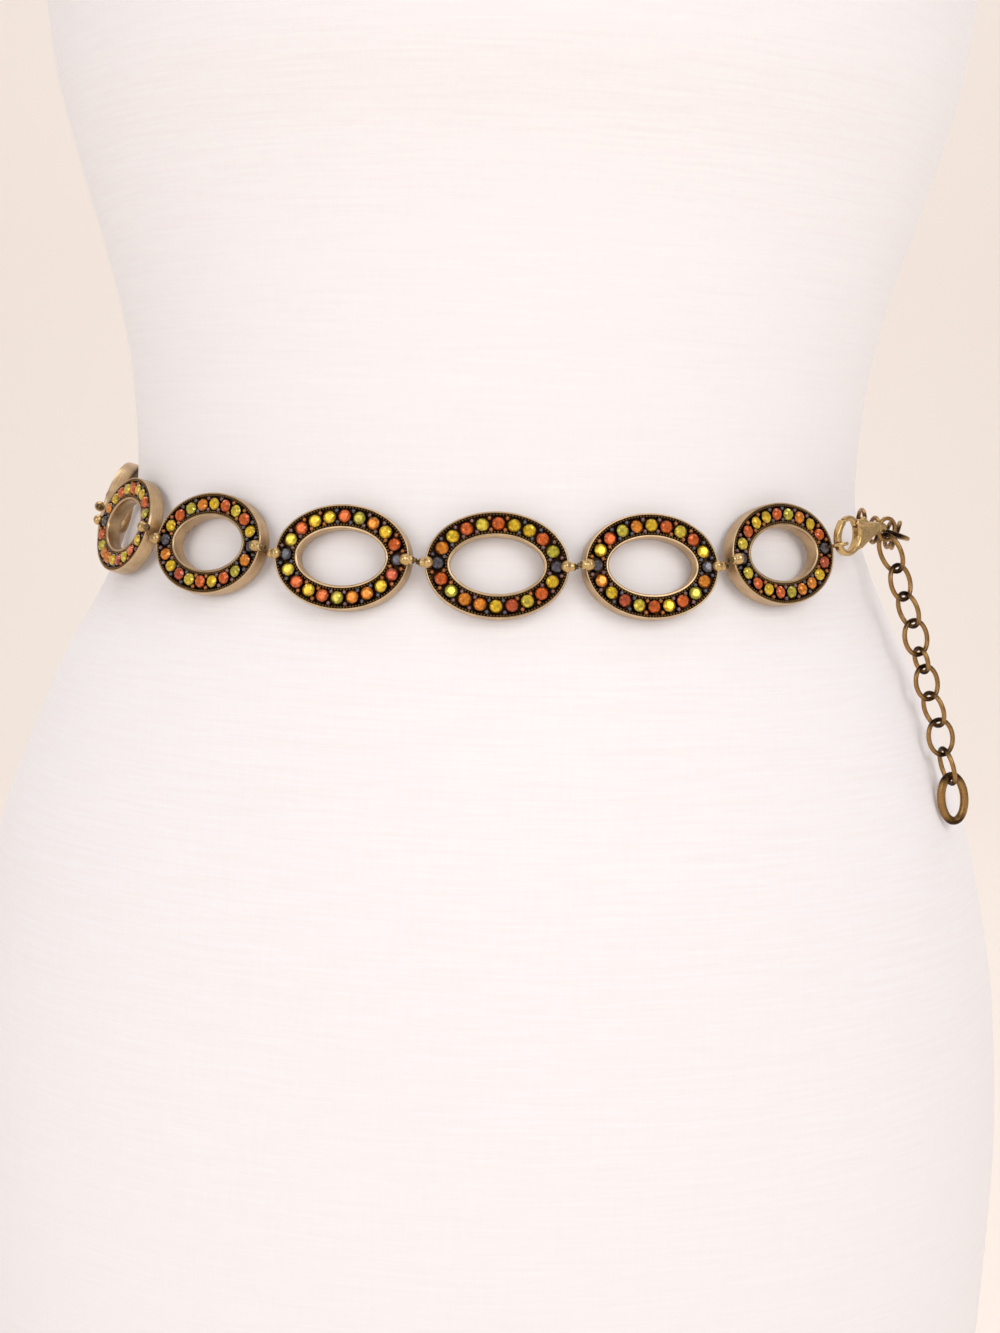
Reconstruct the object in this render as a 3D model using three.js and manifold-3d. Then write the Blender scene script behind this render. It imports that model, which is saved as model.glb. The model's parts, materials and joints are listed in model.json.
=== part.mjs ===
// Rhinestone chain belt worn by a limbless dress form.
// Millimetres, +Z up. The form stands on z = 0 and faces -Y, so +X is the viewer's right.

import * as THREE from 'three';
import Module from 'manifold-3d';

const wasm = await Module();
wasm.setup();

// Dress form sections, bottom to top: height, half width, half depth, centre offset to the back.
const FORM_SECTIONS = [
  { z: 10.3, half: 178.0, deep: 116.0, back: 8.0 },
  { z: 60, half: 182.0, deep: 118.0, back: 8.0 },
  { z: 120, half: 183.5, deep: 118.0, back: 8.0 },
  { z: 172, half: 180.0, deep: 116.0, back: 8.0 },
  { z: 218, half: 171.0, deep: 112.0, back: 6.5 },
  { z: 240, half: 164.8, deep: 109.0, back: 5.2 },
  { z: 257, half: 158.2, deep: 106.0, back: 4.0 },
  { z: 275, half: 151.2, deep: 103.4, back: 3.0 },
  { z: 291, half: 143.8, deep: 101.0, back: 2.0 },
  { z: 311, half: 132.6, deep: 97.5, back: 1.0 },
  { z: 324, half: 126.4, deep: 94.0, back: 0.5 },
  { z: 338, half: 121.6, deep: 91.0, back: 0.0 },
  { z: 352, half: 119.8, deep: 90.0, back: 0.0 },
  { z: 379, half: 121.0, deep: 92.0, back: -1.0 },
  { z: 401, half: 124.4, deep: 95.5, back: -2.0 },
  { z: 423, half: 129.8, deep: 99.0, back: -3.5 },
  { z: 443, half: 135.4, deep: 104.0, back: -6.0 },
  { z: 475, half: 142.3, deep: 114.0, back: -12.0 },
  { z: 505, half: 145.6, deep: 118.0, back: -13.0 },
  { z: 535, half: 148.6, deep: 117.0, back: -11.0 },
  { z: 568, half: 151.5, deep: 109.0, back: -7.0 },
  { z: 600, half: 153.0, deep: 99.0, back: -3.0 },
  { z: 624, half: 148.0, deep: 88.0, back: 0.0 },
  { z: 644, half: 131.0, deep: 77.0, back: 3.0 },
  { z: 659, half: 106.0, deep: 67.0, back: 5.0 },
  { z: 672, half: 79.0, deep: 58.0, back: 6.0 },
  { z: 686, half: 59.5, deep: 53.5, back: 6.0 },
  { z: 704, half: 54.0, deep: 51.5, back: 6.0 },
  { z: 740, half: 53.0, deep: 50.5, back: 6.0 },
];
const FORM_SIDES = 32;
const BASE_TOP = 10;
const BASE_INSET = 2;
const NECK_CAP_FOOT = 740.3;
const NECK_CAP_TOP = 752;

// Belt path: an ellipse round the waist, lower in front than behind.
const WAIST_HALF_WIDTH = 120.6;
const WAIST_HALF_DEPTH = 90;
const FACE_OFF_WAIST = 5.7;
const BELT_SIDE_HEIGHT = 338.6;
const BELT_FRONT_DIP = 9;
const LINK_PITCH = 44.4;
const LINKS_TO_RIGHT = 2;
const LINKS_TO_LEFT = 11;
const CLEAR_OF_FORM = 0.5;

// Oval link: a band round an ellipse, its face at local z = 0 and its back below.
const MID_HALF_LENGTH = 16.8;
const MID_HALF_HEIGHT = 11.7;
const STATIONS = 20;
const BAND_HALF = 3.55;
const BAND_DEPTH = 4.6;
const LIP_INNER = 2.65;
const CHANNEL_DEPTH = 1.5;
const SEAT_GAP = 0.3;
const BED_HALF = LIP_INNER - SEAT_GAP;
const BED_LOW = -0.5;
const STONE_CROWN = 0.35;
const STONE_TABLE_HALF = 1.3;
const END_STONE_TABLE = 0.6;

// Two beads on each end of an oval, and the short neck between two ovals.
const BEAD_SECTIONS = [
  { x: 18.15, z: 1.15, radius: 0.35 },
  { x: 18.6, z: 1.1, radius: 1.08 },
  { x: 19.5, z: 1.0, radius: 1.45 },
  { x: 20.4, z: 0.8, radius: 0.95 },
  { x: 21.0, z: 0.6, radius: 1.12 },
  { x: 21.75, z: 0.5, radius: 0.55 },
];
const NECK_SECTIONS = [
  { x: 21.85, z: 0.5, radius: 0.35 },
  { x: 22.2, z: 0.5, radius: 0.35 },
];
const BEAD_SIDES = 6;
const END_LOOP_RADIUS = 2.6;
const END_LOOP_WIRE = 0.5;
const END_LOOP_X = 20.0;
const END_LOOP_Z = 2.55;
const LAST_LINK_RISE = 5;
const FIRST_LINK_DROP = 4.5;

// Cable chain links: ovals of round wire, each hooked in the one before.
const CHAIN_WIRE = 0.75;
const CHAIN_HALF_WIDTH = 4.2;
const CHAIN_PITCH = 9.25;
const CHAIN_GAP = 0.45;
const CHAIN_STEPS = 10;
const CHAIN_WIRE_SIDES = 6;
const BACK_CHAIN_OFF_FORM = 5.2;
const BACK_CHAIN_RISE_RUN = 26;
const BACK_CHAIN_FALL_RUN = 60;
const BACK_CHAIN_DROP = 2;
const PATH_LEAD = 0.1;
const PITCH_PLAY = 0.9;
const PITCH_STEP = 0.004;
const PATH_STEP = 0.0005;

// Tail links from the top: lean from upright, turn of the link's width from square to the
// viewer, pitch, half width and wire radius. The last row is the end ring.
const TAIL_SWAY = 95;
const VIEWER_SIDE = -15;
const TAIL_LINKS = [
  { name: 'tail_link_1', lean: 23.0, turn: 38, pitch: 10.6, half: 4.2, wire: 0.75 },
  { name: 'tail_link_2', lean: 20.0, turn: -50, pitch: 9.2, half: 4.2, wire: 0.75 },
  { name: 'tail_link_3', lean: 20.0, turn: 45, pitch: 9.2, half: 4.2, wire: 0.75 },
  { name: 'tail_link_4', lean: 17.5, turn: -39, pitch: 9.2, half: 4.2, wire: 0.75 },
  { name: 'tail_link_5', lean: 17.0, turn: 48, pitch: 6.0, half: 2.9, wire: 0.75 },
  { name: 'tail_link_6', lean: 18.0, turn: -41, pitch: 8.9, half: 4.2, wire: 0.75 },
  { name: 'tail_link_7', lean: 19.0, turn: 45, pitch: 9.2, half: 4.2, wire: 0.75 },
  { name: 'tail_link_8', lean: 16.0, turn: -31, pitch: 9.6, half: 4.2, wire: 0.75 },
  { name: 'tail_link_9', lean: 17.5, turn: 62, pitch: 10.0, half: 4.2, wire: 0.75 },
  { name: 'tail_end_ring', lean: 9.0, turn: -27, pitch: 12.3, half: 4.0, wire: 1.35 },
];

// Lobster clasp, drawn in its own plane from the hook's end at x = 0 to the tail.
const CLASP_TURN = 48;
const CLASP_THICK = 3.6;
const HOOK_THICK = 2.0;
const CLASP_BEVEL = 0.5;
const HOOK_CENTRE = { x: 7.05, y: 0 };
const HOOK_OUTER = { x: 7.05, y: 6.2 };
const HOOK_INNER = { x: 5.1, y: 4.5 };
const HOOK_HELD = { x: 1.9, y: -2.7 };
const HOOK_SHIFT = 0.1;
const HOOK_LIFT = 0.1;
const GATE_FROM = 64;
const GATE_TO = 122;
const GATE_THICK = 1.6;
const TAIL_HOLE = { x: 26.1, radius: 1.8, squash: 0.75 };
const SPLIT_RING_RADIUS = 3.4;
const SPLIT_RING_WIRE = 0.65;
const SPLIT_RING_TURN = 30;
const SPLIT_RING_LEVEL = 1.7;
const TAIL_HANG_ANGLE = -88;
const BACK_HANG_ANGLE = -25;

const FABRIC = { color: 0xf3ebe8, roughness: 0.9, metalness: 0 };
const WOOD = { color: 0xb08a62, roughness: 0.6, metalness: 0 };
const GOLD = { color: 0xc9a27a, roughness: 0.38, metalness: 1 };
const STONES = { color: 0xd39a28, roughness: 0.2, metalness: 0 };
const BRONZE = { color: 0x9a7442, roughness: 0.4, metalness: 1 };

const radians = (degrees) => degrees * Math.PI / 180;
const vec = (x, y, z) => new THREE.Vector3(x, y, z);
const unit = (value) => Math.max(0, Math.min(1, value));
const along = (degrees) => vec(Math.cos(radians(degrees)), Math.sin(radians(degrees)), 0);

// Plain indexed geometry from points and triangles, wound so that its volume is positive.
function solid(points, triangles) {
  let volume = 0;
  for (const [a, b, c] of triangles) {
    volume += points[a].dot(points[b].clone().cross(points[c]));
  }
  const wound = volume > 0 ? triangles : triangles.map(([a, b, c]) => [a, c, b]);
  const geometry = new THREE.BufferGeometry();
  geometry.setAttribute('position', new THREE.Float32BufferAttribute(
    points.flatMap((point) => [point.x, point.y, point.z]), 3));
  geometry.setIndex(wound.flat());
  return geometry;
}

// Skin over rings of equal length; the rings close on themselves, and the row may close too.
function skin(rings, rowCloses) {
  const count = rings[0].length;
  const points = rings.flat();
  const triangles = [];
  const rows = rowCloses ? rings.length : rings.length - 1;
  for (let row = 0; row < rows; row += 1) {
    const next = (row + 1) % rings.length;
    for (let i = 0; i < count; i += 1) {
      const j = (i + 1) % count;
      const a = row * count + i;
      const b = row * count + j;
      const c = next * count + j;
      const d = next * count + i;
      triangles.push([a, b, c], [a, c, d]);
    }
  }
  if (!rowCloses) {
    for (const [row, flip] of [[0, true], [rings.length - 1, false]]) {
      const centre = rings[row].reduce((sum, point) => sum.add(point), vec(0, 0, 0));
      points.push(centre.divideScalar(count));
      const hub = points.length - 1;
      for (let i = 0; i < count; i += 1) {
        const a = row * count + i;
        const b = row * count + (i + 1) % count;
        triangles.push(flip ? [hub, b, a] : [hub, a, b]);
      }
    }
  }
  return solid(points, triangles);
}

function toManifold(geometry) {
  return new wasm.Manifold(new wasm.Mesh({
    numProp: 3,
    vertProperties: new Float32Array(geometry.attributes.position.array),
    triVerts: new Uint32Array(geometry.index.array),
  }));
}

function fromManifold(body) {
  const mesh = body.getMesh();
  const geometry = new THREE.BufferGeometry();
  geometry.setAttribute('position', new THREE.Float32BufferAttribute(mesh.vertProperties, 3));
  geometry.setIndex(Array.from(mesh.triVerts));
  return geometry;
}

// Merges points that share a place, so that a geometry with split corners becomes one skin.
function merged(geometry) {
  const source = geometry.attributes.position;
  const index = geometry.index ? Array.from(geometry.index.array) : [...Array(source.count).keys()];
  const seen = new Map();
  const points = [];
  const place = index.map((i) => {
    const point = vec(source.getX(i), source.getY(i), source.getZ(i));
    const key = point.toArray().map((value) => value.toFixed(4)).join();
    if (!seen.has(key)) {
      seen.set(key, points.length);
      points.push(point);
    }
    return seen.get(key);
  });
  const triangles = [];
  for (let i = 0; i < place.length; i += 3) {
    const [a, b, c] = place.slice(i, i + 3);
    if (a !== b && b !== c && a !== c) {
      triangles.push([a, b, c]);
    }
  }
  return solid(points, triangles);
}

// Dress form: its surface and its pieces

function formSection(z) {
  const rows = FORM_SECTIONS;
  const at = Math.max(0, Math.min(rows.length - 2, rows.findIndex((row) => row.z > z) - 1));
  const t = (z - rows[at].z) / (rows[at + 1].z - rows[at].z);
  const mix = (key) => rows[at][key] + t * (rows[at + 1][key] - rows[at][key]);
  return { half: mix('half'), deep: mix('deep'), back: mix('back') };
}

// Distance of a point from the form's surface, measured level, positive outside.
function offForm(point) {
  const { half, deep, back } = formSection(point.z);
  const x = point.x / half;
  const y = (point.y - back) / deep;
  const reach = Math.hypot(x, y);
  const slope = Math.hypot(x / reach / half, y / reach / deep);
  return (reach - 1) / slope;
}

function formRing(z, half, deep, back) {
  const ring = [];
  for (let i = 0; i < FORM_SIDES; i += 1) {
    const turn = 2 * Math.PI * i / FORM_SIDES;
    ring.push(vec(half * Math.cos(turn), back + deep * Math.sin(turn), z));
  }
  return ring;
}

function formBody() {
  return skin(FORM_SECTIONS.map((row) => formRing(row.z, row.half, row.deep, row.back)), false);
}

function formBase() {
  const foot = FORM_SECTIONS[0];
  return skin([0, BASE_TOP].map((z) => formRing(
    z, foot.half - BASE_INSET, foot.deep - BASE_INSET, foot.back)), false);
}

function formNeckCap() {
  const neck = FORM_SECTIONS[FORM_SECTIONS.length - 1];
  const rim = NECK_CAP_TOP - 4;
  return skin([
    formRing(NECK_CAP_FOOT, neck.half + 2, neck.deep + 2, neck.back),
    formRing(rim, neck.half + 2, neck.deep + 2, neck.back),
    formRing(NECK_CAP_TOP, neck.half - 6, neck.deep - 6, neck.back),
  ], false);
}

// Belt path

// Distance from the axis to the tangent line of the waist whose outward normal has this turn.
function support(turn) {
  return Math.hypot(WAIST_HALF_WIDTH * Math.sin(turn), WAIST_HALF_DEPTH * Math.cos(turn))
    + FACE_OFF_WAIST;
}

// Each oval lies along a tangent of the waist; the next one starts where this one ends.
function linkSides(count, way) {
  const sides = [];
  let turn = 0;
  let corner = vec(way * LINK_PITCH / 2, -support(0), 0);
  for (let k = 0; k < count; k += 1) {
    const miss = (angle) => support(angle)
      - (Math.sin(angle) * corner.x - Math.cos(angle) * corner.y);
    let low = turn + way * radians(1);
    let high = low;
    while (miss(high) < 0) {
      low = high;
      high += way * radians(0.5);
    }
    for (let step = 0; step < 30; step += 1) {
      const middle = (low + high) / 2;
      if (miss(middle) < 0) {
        low = middle;
      } else {
        high = middle;
      }
    }
    turn = high;
    const run = vec(Math.cos(turn), Math.sin(turn), 0).multiplyScalar(way);
    sides.push({ turn, centre: corner.clone().addScaledVector(run, LINK_PITCH / 2) });
    corner = corner.clone().addScaledVector(run, LINK_PITCH);
  }
  return sides;
}

function beltHeight(y) {
  return BELT_SIDE_HEIGHT + BELT_FRONT_DIP * y / WAIST_HALF_DEPTH;
}

// Oval link in its own axes: x along the belt, y up, z out of the face

// Even steps of arc length round the middle line of the band.
function bandStations(count) {
  const fine = 2000;
  const lengths = [0];
  const at = (i) => {
    const t = 2 * Math.PI * i / fine;
    return vec(MID_HALF_LENGTH * Math.cos(t), MID_HALF_HEIGHT * Math.sin(t), 0);
  };
  for (let i = 1; i <= fine; i += 1) {
    lengths.push(lengths[i - 1] + at(i).distanceTo(at(i - 1)));
  }
  const stations = [];
  for (let k = 0; k < count; k += 1) {
    const i = lengths.findIndex((length) => length >= k * lengths[fine] / count);
    const point = at(i);
    const outward = vec(point.x / MID_HALF_LENGTH ** 2, point.y / MID_HALF_HEIGHT ** 2, 0);
    stations.push({ point, outward: outward.normalize() });
  }
  return stations;
}

const STATION_ROW = bandStations(STATIONS);

function bandPoint(station, across, height) {
  return station.point.clone().addScaledVector(station.outward, across).setZ(height);
}

function linkFrameBand() {
  const profile = [
    [BAND_HALF, -BAND_DEPTH],
    [BAND_HALF, 0],
    [LIP_INNER, 0],
    [LIP_INNER, -CHANNEL_DEPTH],
    [-LIP_INNER, -CHANNEL_DEPTH],
    [-LIP_INNER, 0],
    [-BAND_HALF, 0],
    [-BAND_HALF, -BAND_DEPTH],
  ];
  return skin(STATION_ROW.map((station) => profile.map(
    ([across, height]) => bandPoint(station, across, height))), true);
}

// The stones' bed: raised at each of the stations, low halfway between two of them.
function linkStones() {
  const floor = SEAT_GAP - CHANNEL_DEPTH;
  const rings = [];
  STATION_ROW.forEach((station, k) => {
    const next = STATION_ROW[(k + 1) % STATIONS];
    const between = (across, height) => bandPoint(station, across, height)
      .add(bandPoint(next, across, height)).divideScalar(2);
    const isEnd = k % (STATIONS / 2) === 0;
    const table = isEnd ? END_STONE_TABLE : STONE_TABLE_HALF;
    rings.push([
      bandPoint(station, BED_HALF, floor),
      bandPoint(station, table, STONE_CROWN),
      bandPoint(station, -STONE_TABLE_HALF, STONE_CROWN),
      bandPoint(station, -BED_HALF, floor),
    ]);
    rings.push([
      between(BED_HALF, floor),
      between(STONE_TABLE_HALF, BED_LOW),
      between(-STONE_TABLE_HALF, BED_LOW),
      between(-BED_HALF, floor),
    ]);
  });
  return skin(rings, true);
}

// The two beads, and past them the neck where there is one, as one row of rings along x.
function beads(hasNeck) {
  const rows = hasNeck ? BEAD_SECTIONS.concat(NECK_SECTIONS) : BEAD_SECTIONS;
  return skin(rows.map(({ x, z, radius }) => [...Array(BEAD_SIDES).keys()].map((i) => {
    const turn = 2 * Math.PI * (i + 0.5) / BEAD_SIDES;
    return vec(x, radius * Math.cos(turn), z + radius * Math.sin(turn));
  })), false);
}

// Round wire along a closed centre line; each row of the line gives a point and its outward way.
function wireLoop(line, normal, radius, sides) {
  return skin(line.map(({ point, outward }) => [...Array(sides).keys()].map((i) => {
    const turn = 2 * Math.PI * (i + 0.5) / sides;
    return point.clone()
      .addScaledVector(outward, radius * Math.cos(turn))
      .addScaledVector(normal, radius * Math.sin(turn));
  })), true);
}

function circleLine(centre, radius, first, second, steps) {
  return [...Array(steps).keys()].map((i) => {
    const turn = 2 * Math.PI * i / steps;
    const outward = first.clone().multiplyScalar(Math.cos(turn))
      .addScaledVector(second, Math.sin(turn));
    return { point: centre.clone().addScaledVector(outward, radius), outward };
  });
}

function endLoop() {
  const line = circleLine(
    vec(END_LOOP_X, 0, END_LOOP_Z), END_LOOP_RADIUS, vec(1, 0, 0), vec(0, 0, 1), 14);
  return wireLoop(line, vec(0, 1, 0), END_LOOP_WIRE, 6);
}

// The band with its end beads; `right` and `left` say what lies past each end.
function linkFrame(right, left) {
  let body = toManifold(linkFrameBand());
  const halfTurn = new THREE.Matrix4().makeRotationZ(Math.PI);
  for (const [end, isLeft] of [[right, false], [left, true]]) {
    const piece = end === 'loop' ? endLoop() : beads(end === 'neck');
    body = body.add(toManifold(isLeft ? piece.applyMatrix4(halfTurn) : piece));
  }
  return fromManifold(body);
}

const BACK_OUTLINE = STATION_ROW.map((station) => bandPoint(station, BAND_HALF, -BAND_DEPTH));

// Sets an oval on the form: leant back as the form flares there, then moved just clear of it.
function linkPlace(side) {
  const run = vec(Math.cos(side.turn), Math.sin(side.turn), 0);
  const out = vec(Math.sin(side.turn), -Math.cos(side.turn), 0);
  const height = beltHeight(side.centre.y);
  const sample = (z) => {
    const { half, deep, back } = formSection(z);
    return Math.hypot(half * Math.sin(side.turn), deep * Math.cos(side.turn))
      - back * Math.cos(side.turn);
  };
  const reach = MID_HALF_HEIGHT + BAND_HALF;
  const lean = Math.atan2(sample(height - reach) - sample(height + reach / 3), reach * 4 / 3);
  const up = vec(0, 0, Math.cos(lean)).addScaledVector(out, -Math.sin(lean));
  const face = out.clone().multiplyScalar(Math.cos(lean)).setZ(Math.sin(lean));
  const centre = side.centre.clone().setZ(height);
  const place = new THREE.Matrix4();
  let shift = 0;
  for (let pass = 0; pass < 6; pass += 1) {
    const origin = centre.clone().addScaledVector(out, shift);
    place.makeBasis(run, up, face).setPosition(origin);
    const gap = Math.min(...BACK_OUTLINE.map((point) => offForm(point.clone().applyMatrix4(place))));
    shift += Math.max(0, CLEAR_OF_FORM - gap);
  }
  return place;
}

// Chain links

// An oval centre line round `centre`: `run` is its long way and `wide` its short way.
function ovalLine(centre, run, wide, halfLength, halfWidth) {
  return [...Array(CHAIN_STEPS).keys()].map((i) => {
    const turn = 2 * Math.PI * i / CHAIN_STEPS;
    const point = centre.clone()
      .addScaledVector(run, halfLength * Math.cos(turn))
      .addScaledVector(wide, halfWidth * Math.sin(turn));
    const outward = run.clone().multiplyScalar(Math.cos(turn) / halfLength)
      .addScaledVector(wide, Math.sin(turn) / halfWidth).normalize();
    return { point, outward };
  });
}

// Links hang one in the next: each reaches back over the wire above by two wires and a gap.
function chainLink(held, run, wide, { pitch, half, wire }, heldWire) {
  const lap = wire + heldWire + CHAIN_GAP;
  const halfLength = (pitch + lap) / 2;
  const centre = held.clone().addScaledVector(run, halfLength - lap);
  const line = ovalLine(centre, run, wide, halfLength, half);
  return wireLoop(line, run.clone().cross(wide), wire, CHAIN_WIRE_SIDES);
}

// The part of `way` that lies square to `run`.
function squareTo(way, run) {
  return way.clone().addScaledVector(run, -way.dot(run)).normalize();
}

// Clasp in its own axes: x along it, y up, z out

function ellipsePoint(centre, radii, degrees) {
  return new THREE.Vector2(
    centre.x + radii.x * Math.cos(radians(degrees)), centre.y + radii.y * Math.sin(radians(degrees)));
}

function extrudeFlat(outline, holes, thick, bevel) {
  const shape = new THREE.Shape(outline);
  for (const hole of holes) {
    shape.holes.push(new THREE.Path(hole));
  }
  const geometry = new THREE.ExtrudeGeometry(shape, {
    depth: thick - 2 * bevel,
    bevelEnabled: bevel > 0,
    bevelThickness: bevel,
    bevelSize: bevel,
    bevelOffset: -bevel,
    bevelSegments: 1,
    steps: 1,
  });
  geometry.translate(0, 0, bevel - thick / 2);
  return merged(geometry);
}

function claspOutline() {
  const outline = [];
  for (let degrees = 60; degrees <= 312; degrees += 14) {
    outline.push(ellipsePoint(HOOK_CENTRE, HOOK_OUTER, degrees));
  }
  const rest = [
    [14.5, -4.0], [18, -2.2], [22, -0.3], [25.0, 0.6], [27.9, 0.7], [28.9, 1.5],
    [28.9, 3.0], [27.9, 3.7], [22, 4.1], [16.5, 4.1], [13.2, 4.7],
  ];
  return outline.concat(rest.map(([x, y]) => new THREE.Vector2(x, y)));
}

// The part of the hook's ring between two turns, a little larger by `grow` on each side.
function gateSector(from, to, grow) {
  const outer = { x: HOOK_OUTER.x + grow, y: HOOK_OUTER.y + grow };
  const inner = { x: HOOK_INNER.x - grow, y: HOOK_INNER.y - grow };
  const steps = 6;
  const outline = [];
  for (let i = 0; i <= steps; i += 1) {
    outline.push(ellipsePoint(HOOK_CENTRE, outer, from + (to - from) * i / steps));
  }
  for (let i = steps; i >= 0; i -= 1) {
    outline.push(ellipsePoint(HOOK_CENTRE, inner, from + (to - from) * i / steps));
  }
  return outline;
}

const LEVER_STRAP = [
  [9.0, 4.4], [10.2, 2.9], [18.4, 2.9], [18.9, 4.1], [16.3, 5.8], [15.0, 4.9], [10.4, 5.0],
];
const LEVER_SLOT = [[8.6, 2.6], [20.2, 2.6], [20.2, 9], [8.6, 9]];

function claspBody() {
  const opening = [];
  for (let degrees = 0; degrees < 360; degrees += 20) {
    opening.push(ellipsePoint(HOOK_CENTRE, HOOK_INNER, degrees));
  }
  const sector = gateSector(GATE_FROM - 8, GATE_TO + 3, 1.5);
  const slot = LEVER_SLOT.map(([x, y]) => new THREE.Vector2(x, y));
  const hole = new THREE.CylinderGeometry(TAIL_HOLE.radius, TAIL_HOLE.radius, 20, 12);
  hole.scale(1, 1, TAIL_HOLE.squash);
  hole.translate(TAIL_HOLE.x, 0, 0);
  // The hook is thinner than the tail: a wedge comes off each side of it.
  const wedge = [
    [-2, HOOK_THICK / 2], [9, CLASP_THICK / 2], [9, 5], [-2, 5],
  ].map(([x, z]) => new THREE.Vector2(x, z));
  const shave = toManifold(extrudeFlat(wedge, [], 20, 0).rotateX(Math.PI / 2));
  const body = toManifold(extrudeFlat(claspOutline(), [opening], CLASP_THICK, CLASP_BEVEL))
    .subtract(shave)
    .subtract(shave.mirror([0, 0, 1]))
    .subtract(toManifold(extrudeFlat(sector, [], 12, 0)))
    .subtract(toManifold(extrudeFlat(slot, [], GATE_THICK + 2 * SEAT_GAP, 0)))
    .subtract(toManifold(merged(hole)));
  return fromManifold(body);
}

function claspLever() {
  const strap = LEVER_STRAP.map(([x, y]) => new THREE.Vector2(x, y));
  const arc = extrudeFlat(gateSector(GATE_FROM - 6, GATE_TO, 0), [], GATE_THICK, 0);
  return fromManifold(toManifold(arc).add(toManifold(extrudeFlat(strap, [], GATE_THICK, 0))));
}

// All the pieces in place

const belt = new THREE.Group();
belt.name = 'rhinestone_chain_belt';

function addPiece(name, geometry, finish) {
  const mesh = new THREE.Mesh(geometry, new THREE.MeshStandardMaterial(finish));
  mesh.name = name;
  belt.add(mesh);
}

addPiece('form_base', formBase(), WOOD);
addPiece('form_body', formBody(), FABRIC);
addPiece('form_neck_cap', formNeckCap(), WOOD);

const frontSide = { turn: 0, centre: vec(0, -support(0), 0) };
const sides = linkSides(LINKS_TO_LEFT, -1).reverse()
  .concat([frontSide], linkSides(LINKS_TO_RIGHT, 1));
const places = sides.map(linkPlace);

// The right-hand oval is pulled up a little at its clasp end.
const lastPlace = places[places.length - 1];
lastPlace.multiply(new THREE.Matrix4().makeTranslation(-LINK_PITCH / 2, 0, 0))
  .multiply(new THREE.Matrix4().makeRotationZ(radians(LAST_LINK_RISE)))
  .multiply(new THREE.Matrix4().makeTranslation(LINK_PITCH / 2, 0, 0));

// The first oval, behind, sags a little at its chain end.
const firstPlace = places[0];
firstPlace.multiply(new THREE.Matrix4().makeTranslation(LINK_PITCH / 2, 0, 0))
  .multiply(new THREE.Matrix4().makeRotationZ(radians(FIRST_LINK_DROP)))
  .multiply(new THREE.Matrix4().makeTranslation(-LINK_PITCH / 2, 0, 0));

places.forEach((place, k) => {
  const number = String(k + 1).padStart(2, '0');
  const right = k === places.length - 1 ? 'loop' : 'neck';
  const left = k === 0 ? 'loop' : 'bead';
  addPiece(`oval_${number}_frame`, linkFrame(right, left).applyMatrix4(place), GOLD);
  addPiece(`oval_${number}_stones`, linkStones().applyMatrix4(place), STONES);
});

// The clasp goes on from the right-hand oval's end loop, turned a little more round the form.
const held = vec(END_LOOP_X - HOOK_SHIFT, 0, END_LOOP_Z + HOOK_LIFT).applyMatrix4(lastPlace);
const claspRun = along(CLASP_TURN);
const claspPlace = new THREE.Matrix4().makeBasis(
  claspRun, vec(0, 0, 1), claspRun.clone().cross(vec(0, 0, 1)));
claspPlace.setPosition(held.clone()
  .addScaledVector(claspRun, -HOOK_HELD.x).add(vec(0, 0, -HOOK_HELD.y)));
addPiece('clasp_body', claspBody().applyMatrix4(claspPlace), GOLD);
addPiece('clasp_lever', claspLever().applyMatrix4(claspPlace), GOLD);

const ringRun = along(SPLIT_RING_TURN);
const ringUp = vec(0, 0, 1);
const ringCentre = vec(TAIL_HOLE.x, SPLIT_RING_LEVEL, 0).applyMatrix4(claspPlace)
  .addScaledVector(ringRun, SPLIT_RING_RADIUS);
addPiece('clasp_ring', wireLoop(
  circleLine(ringCentre, SPLIT_RING_RADIUS, ringRun, ringUp, 14),
  ringRun.clone().cross(ringUp), SPLIT_RING_WIRE, 6), BRONZE);

function ringWireAt(degrees) {
  const outward = ringRun.clone().multiplyScalar(Math.cos(radians(degrees)))
    .addScaledVector(ringUp, Math.sin(radians(degrees)));
  const point = ringCentre.clone().addScaledVector(outward, SPLIT_RING_RADIUS);
  const wireWay = ringRun.clone().multiplyScalar(-Math.sin(radians(degrees)))
    .addScaledVector(ringUp, Math.cos(radians(degrees)));
  return { point, wireWay };
}

// Tail: nine links and the end ring, leaning out over the hip.
const sway = vec(Math.sin(radians(TAIL_SWAY)), -Math.cos(radians(TAIL_SWAY)), 0);
let { point: hook, wireWay } = ringWireAt(TAIL_HANG_ANGLE);
let heldWire = SPLIT_RING_WIRE;
for (const row of TAIL_LINKS) {
  const lean = radians(row.lean);
  const run = sway.clone().multiplyScalar(Math.sin(lean)).setZ(-Math.cos(lean));
  const side = squareTo(along(VIEWER_SIDE), run);
  const wide = side.clone().multiplyScalar(Math.cos(radians(row.turn)))
    .addScaledVector(run.clone().cross(side), Math.sin(radians(row.turn)));
  addPiece(row.name, chainLink(hook, run, wide, row, heldWire), BRONZE);
  hook = hook.clone().addScaledVector(run, row.pitch);
  wireWay = wide;
  heldWire = row.wire;
}

const backStart = ringWireAt(BACK_HANG_ANGLE);
const backEnd = vec(-END_LOOP_X, 0, END_LOOP_Z).applyMatrix4(places[0]);
const backEndOff = offForm(backEnd);
const backStartOff = offForm(backStart.point);

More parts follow.
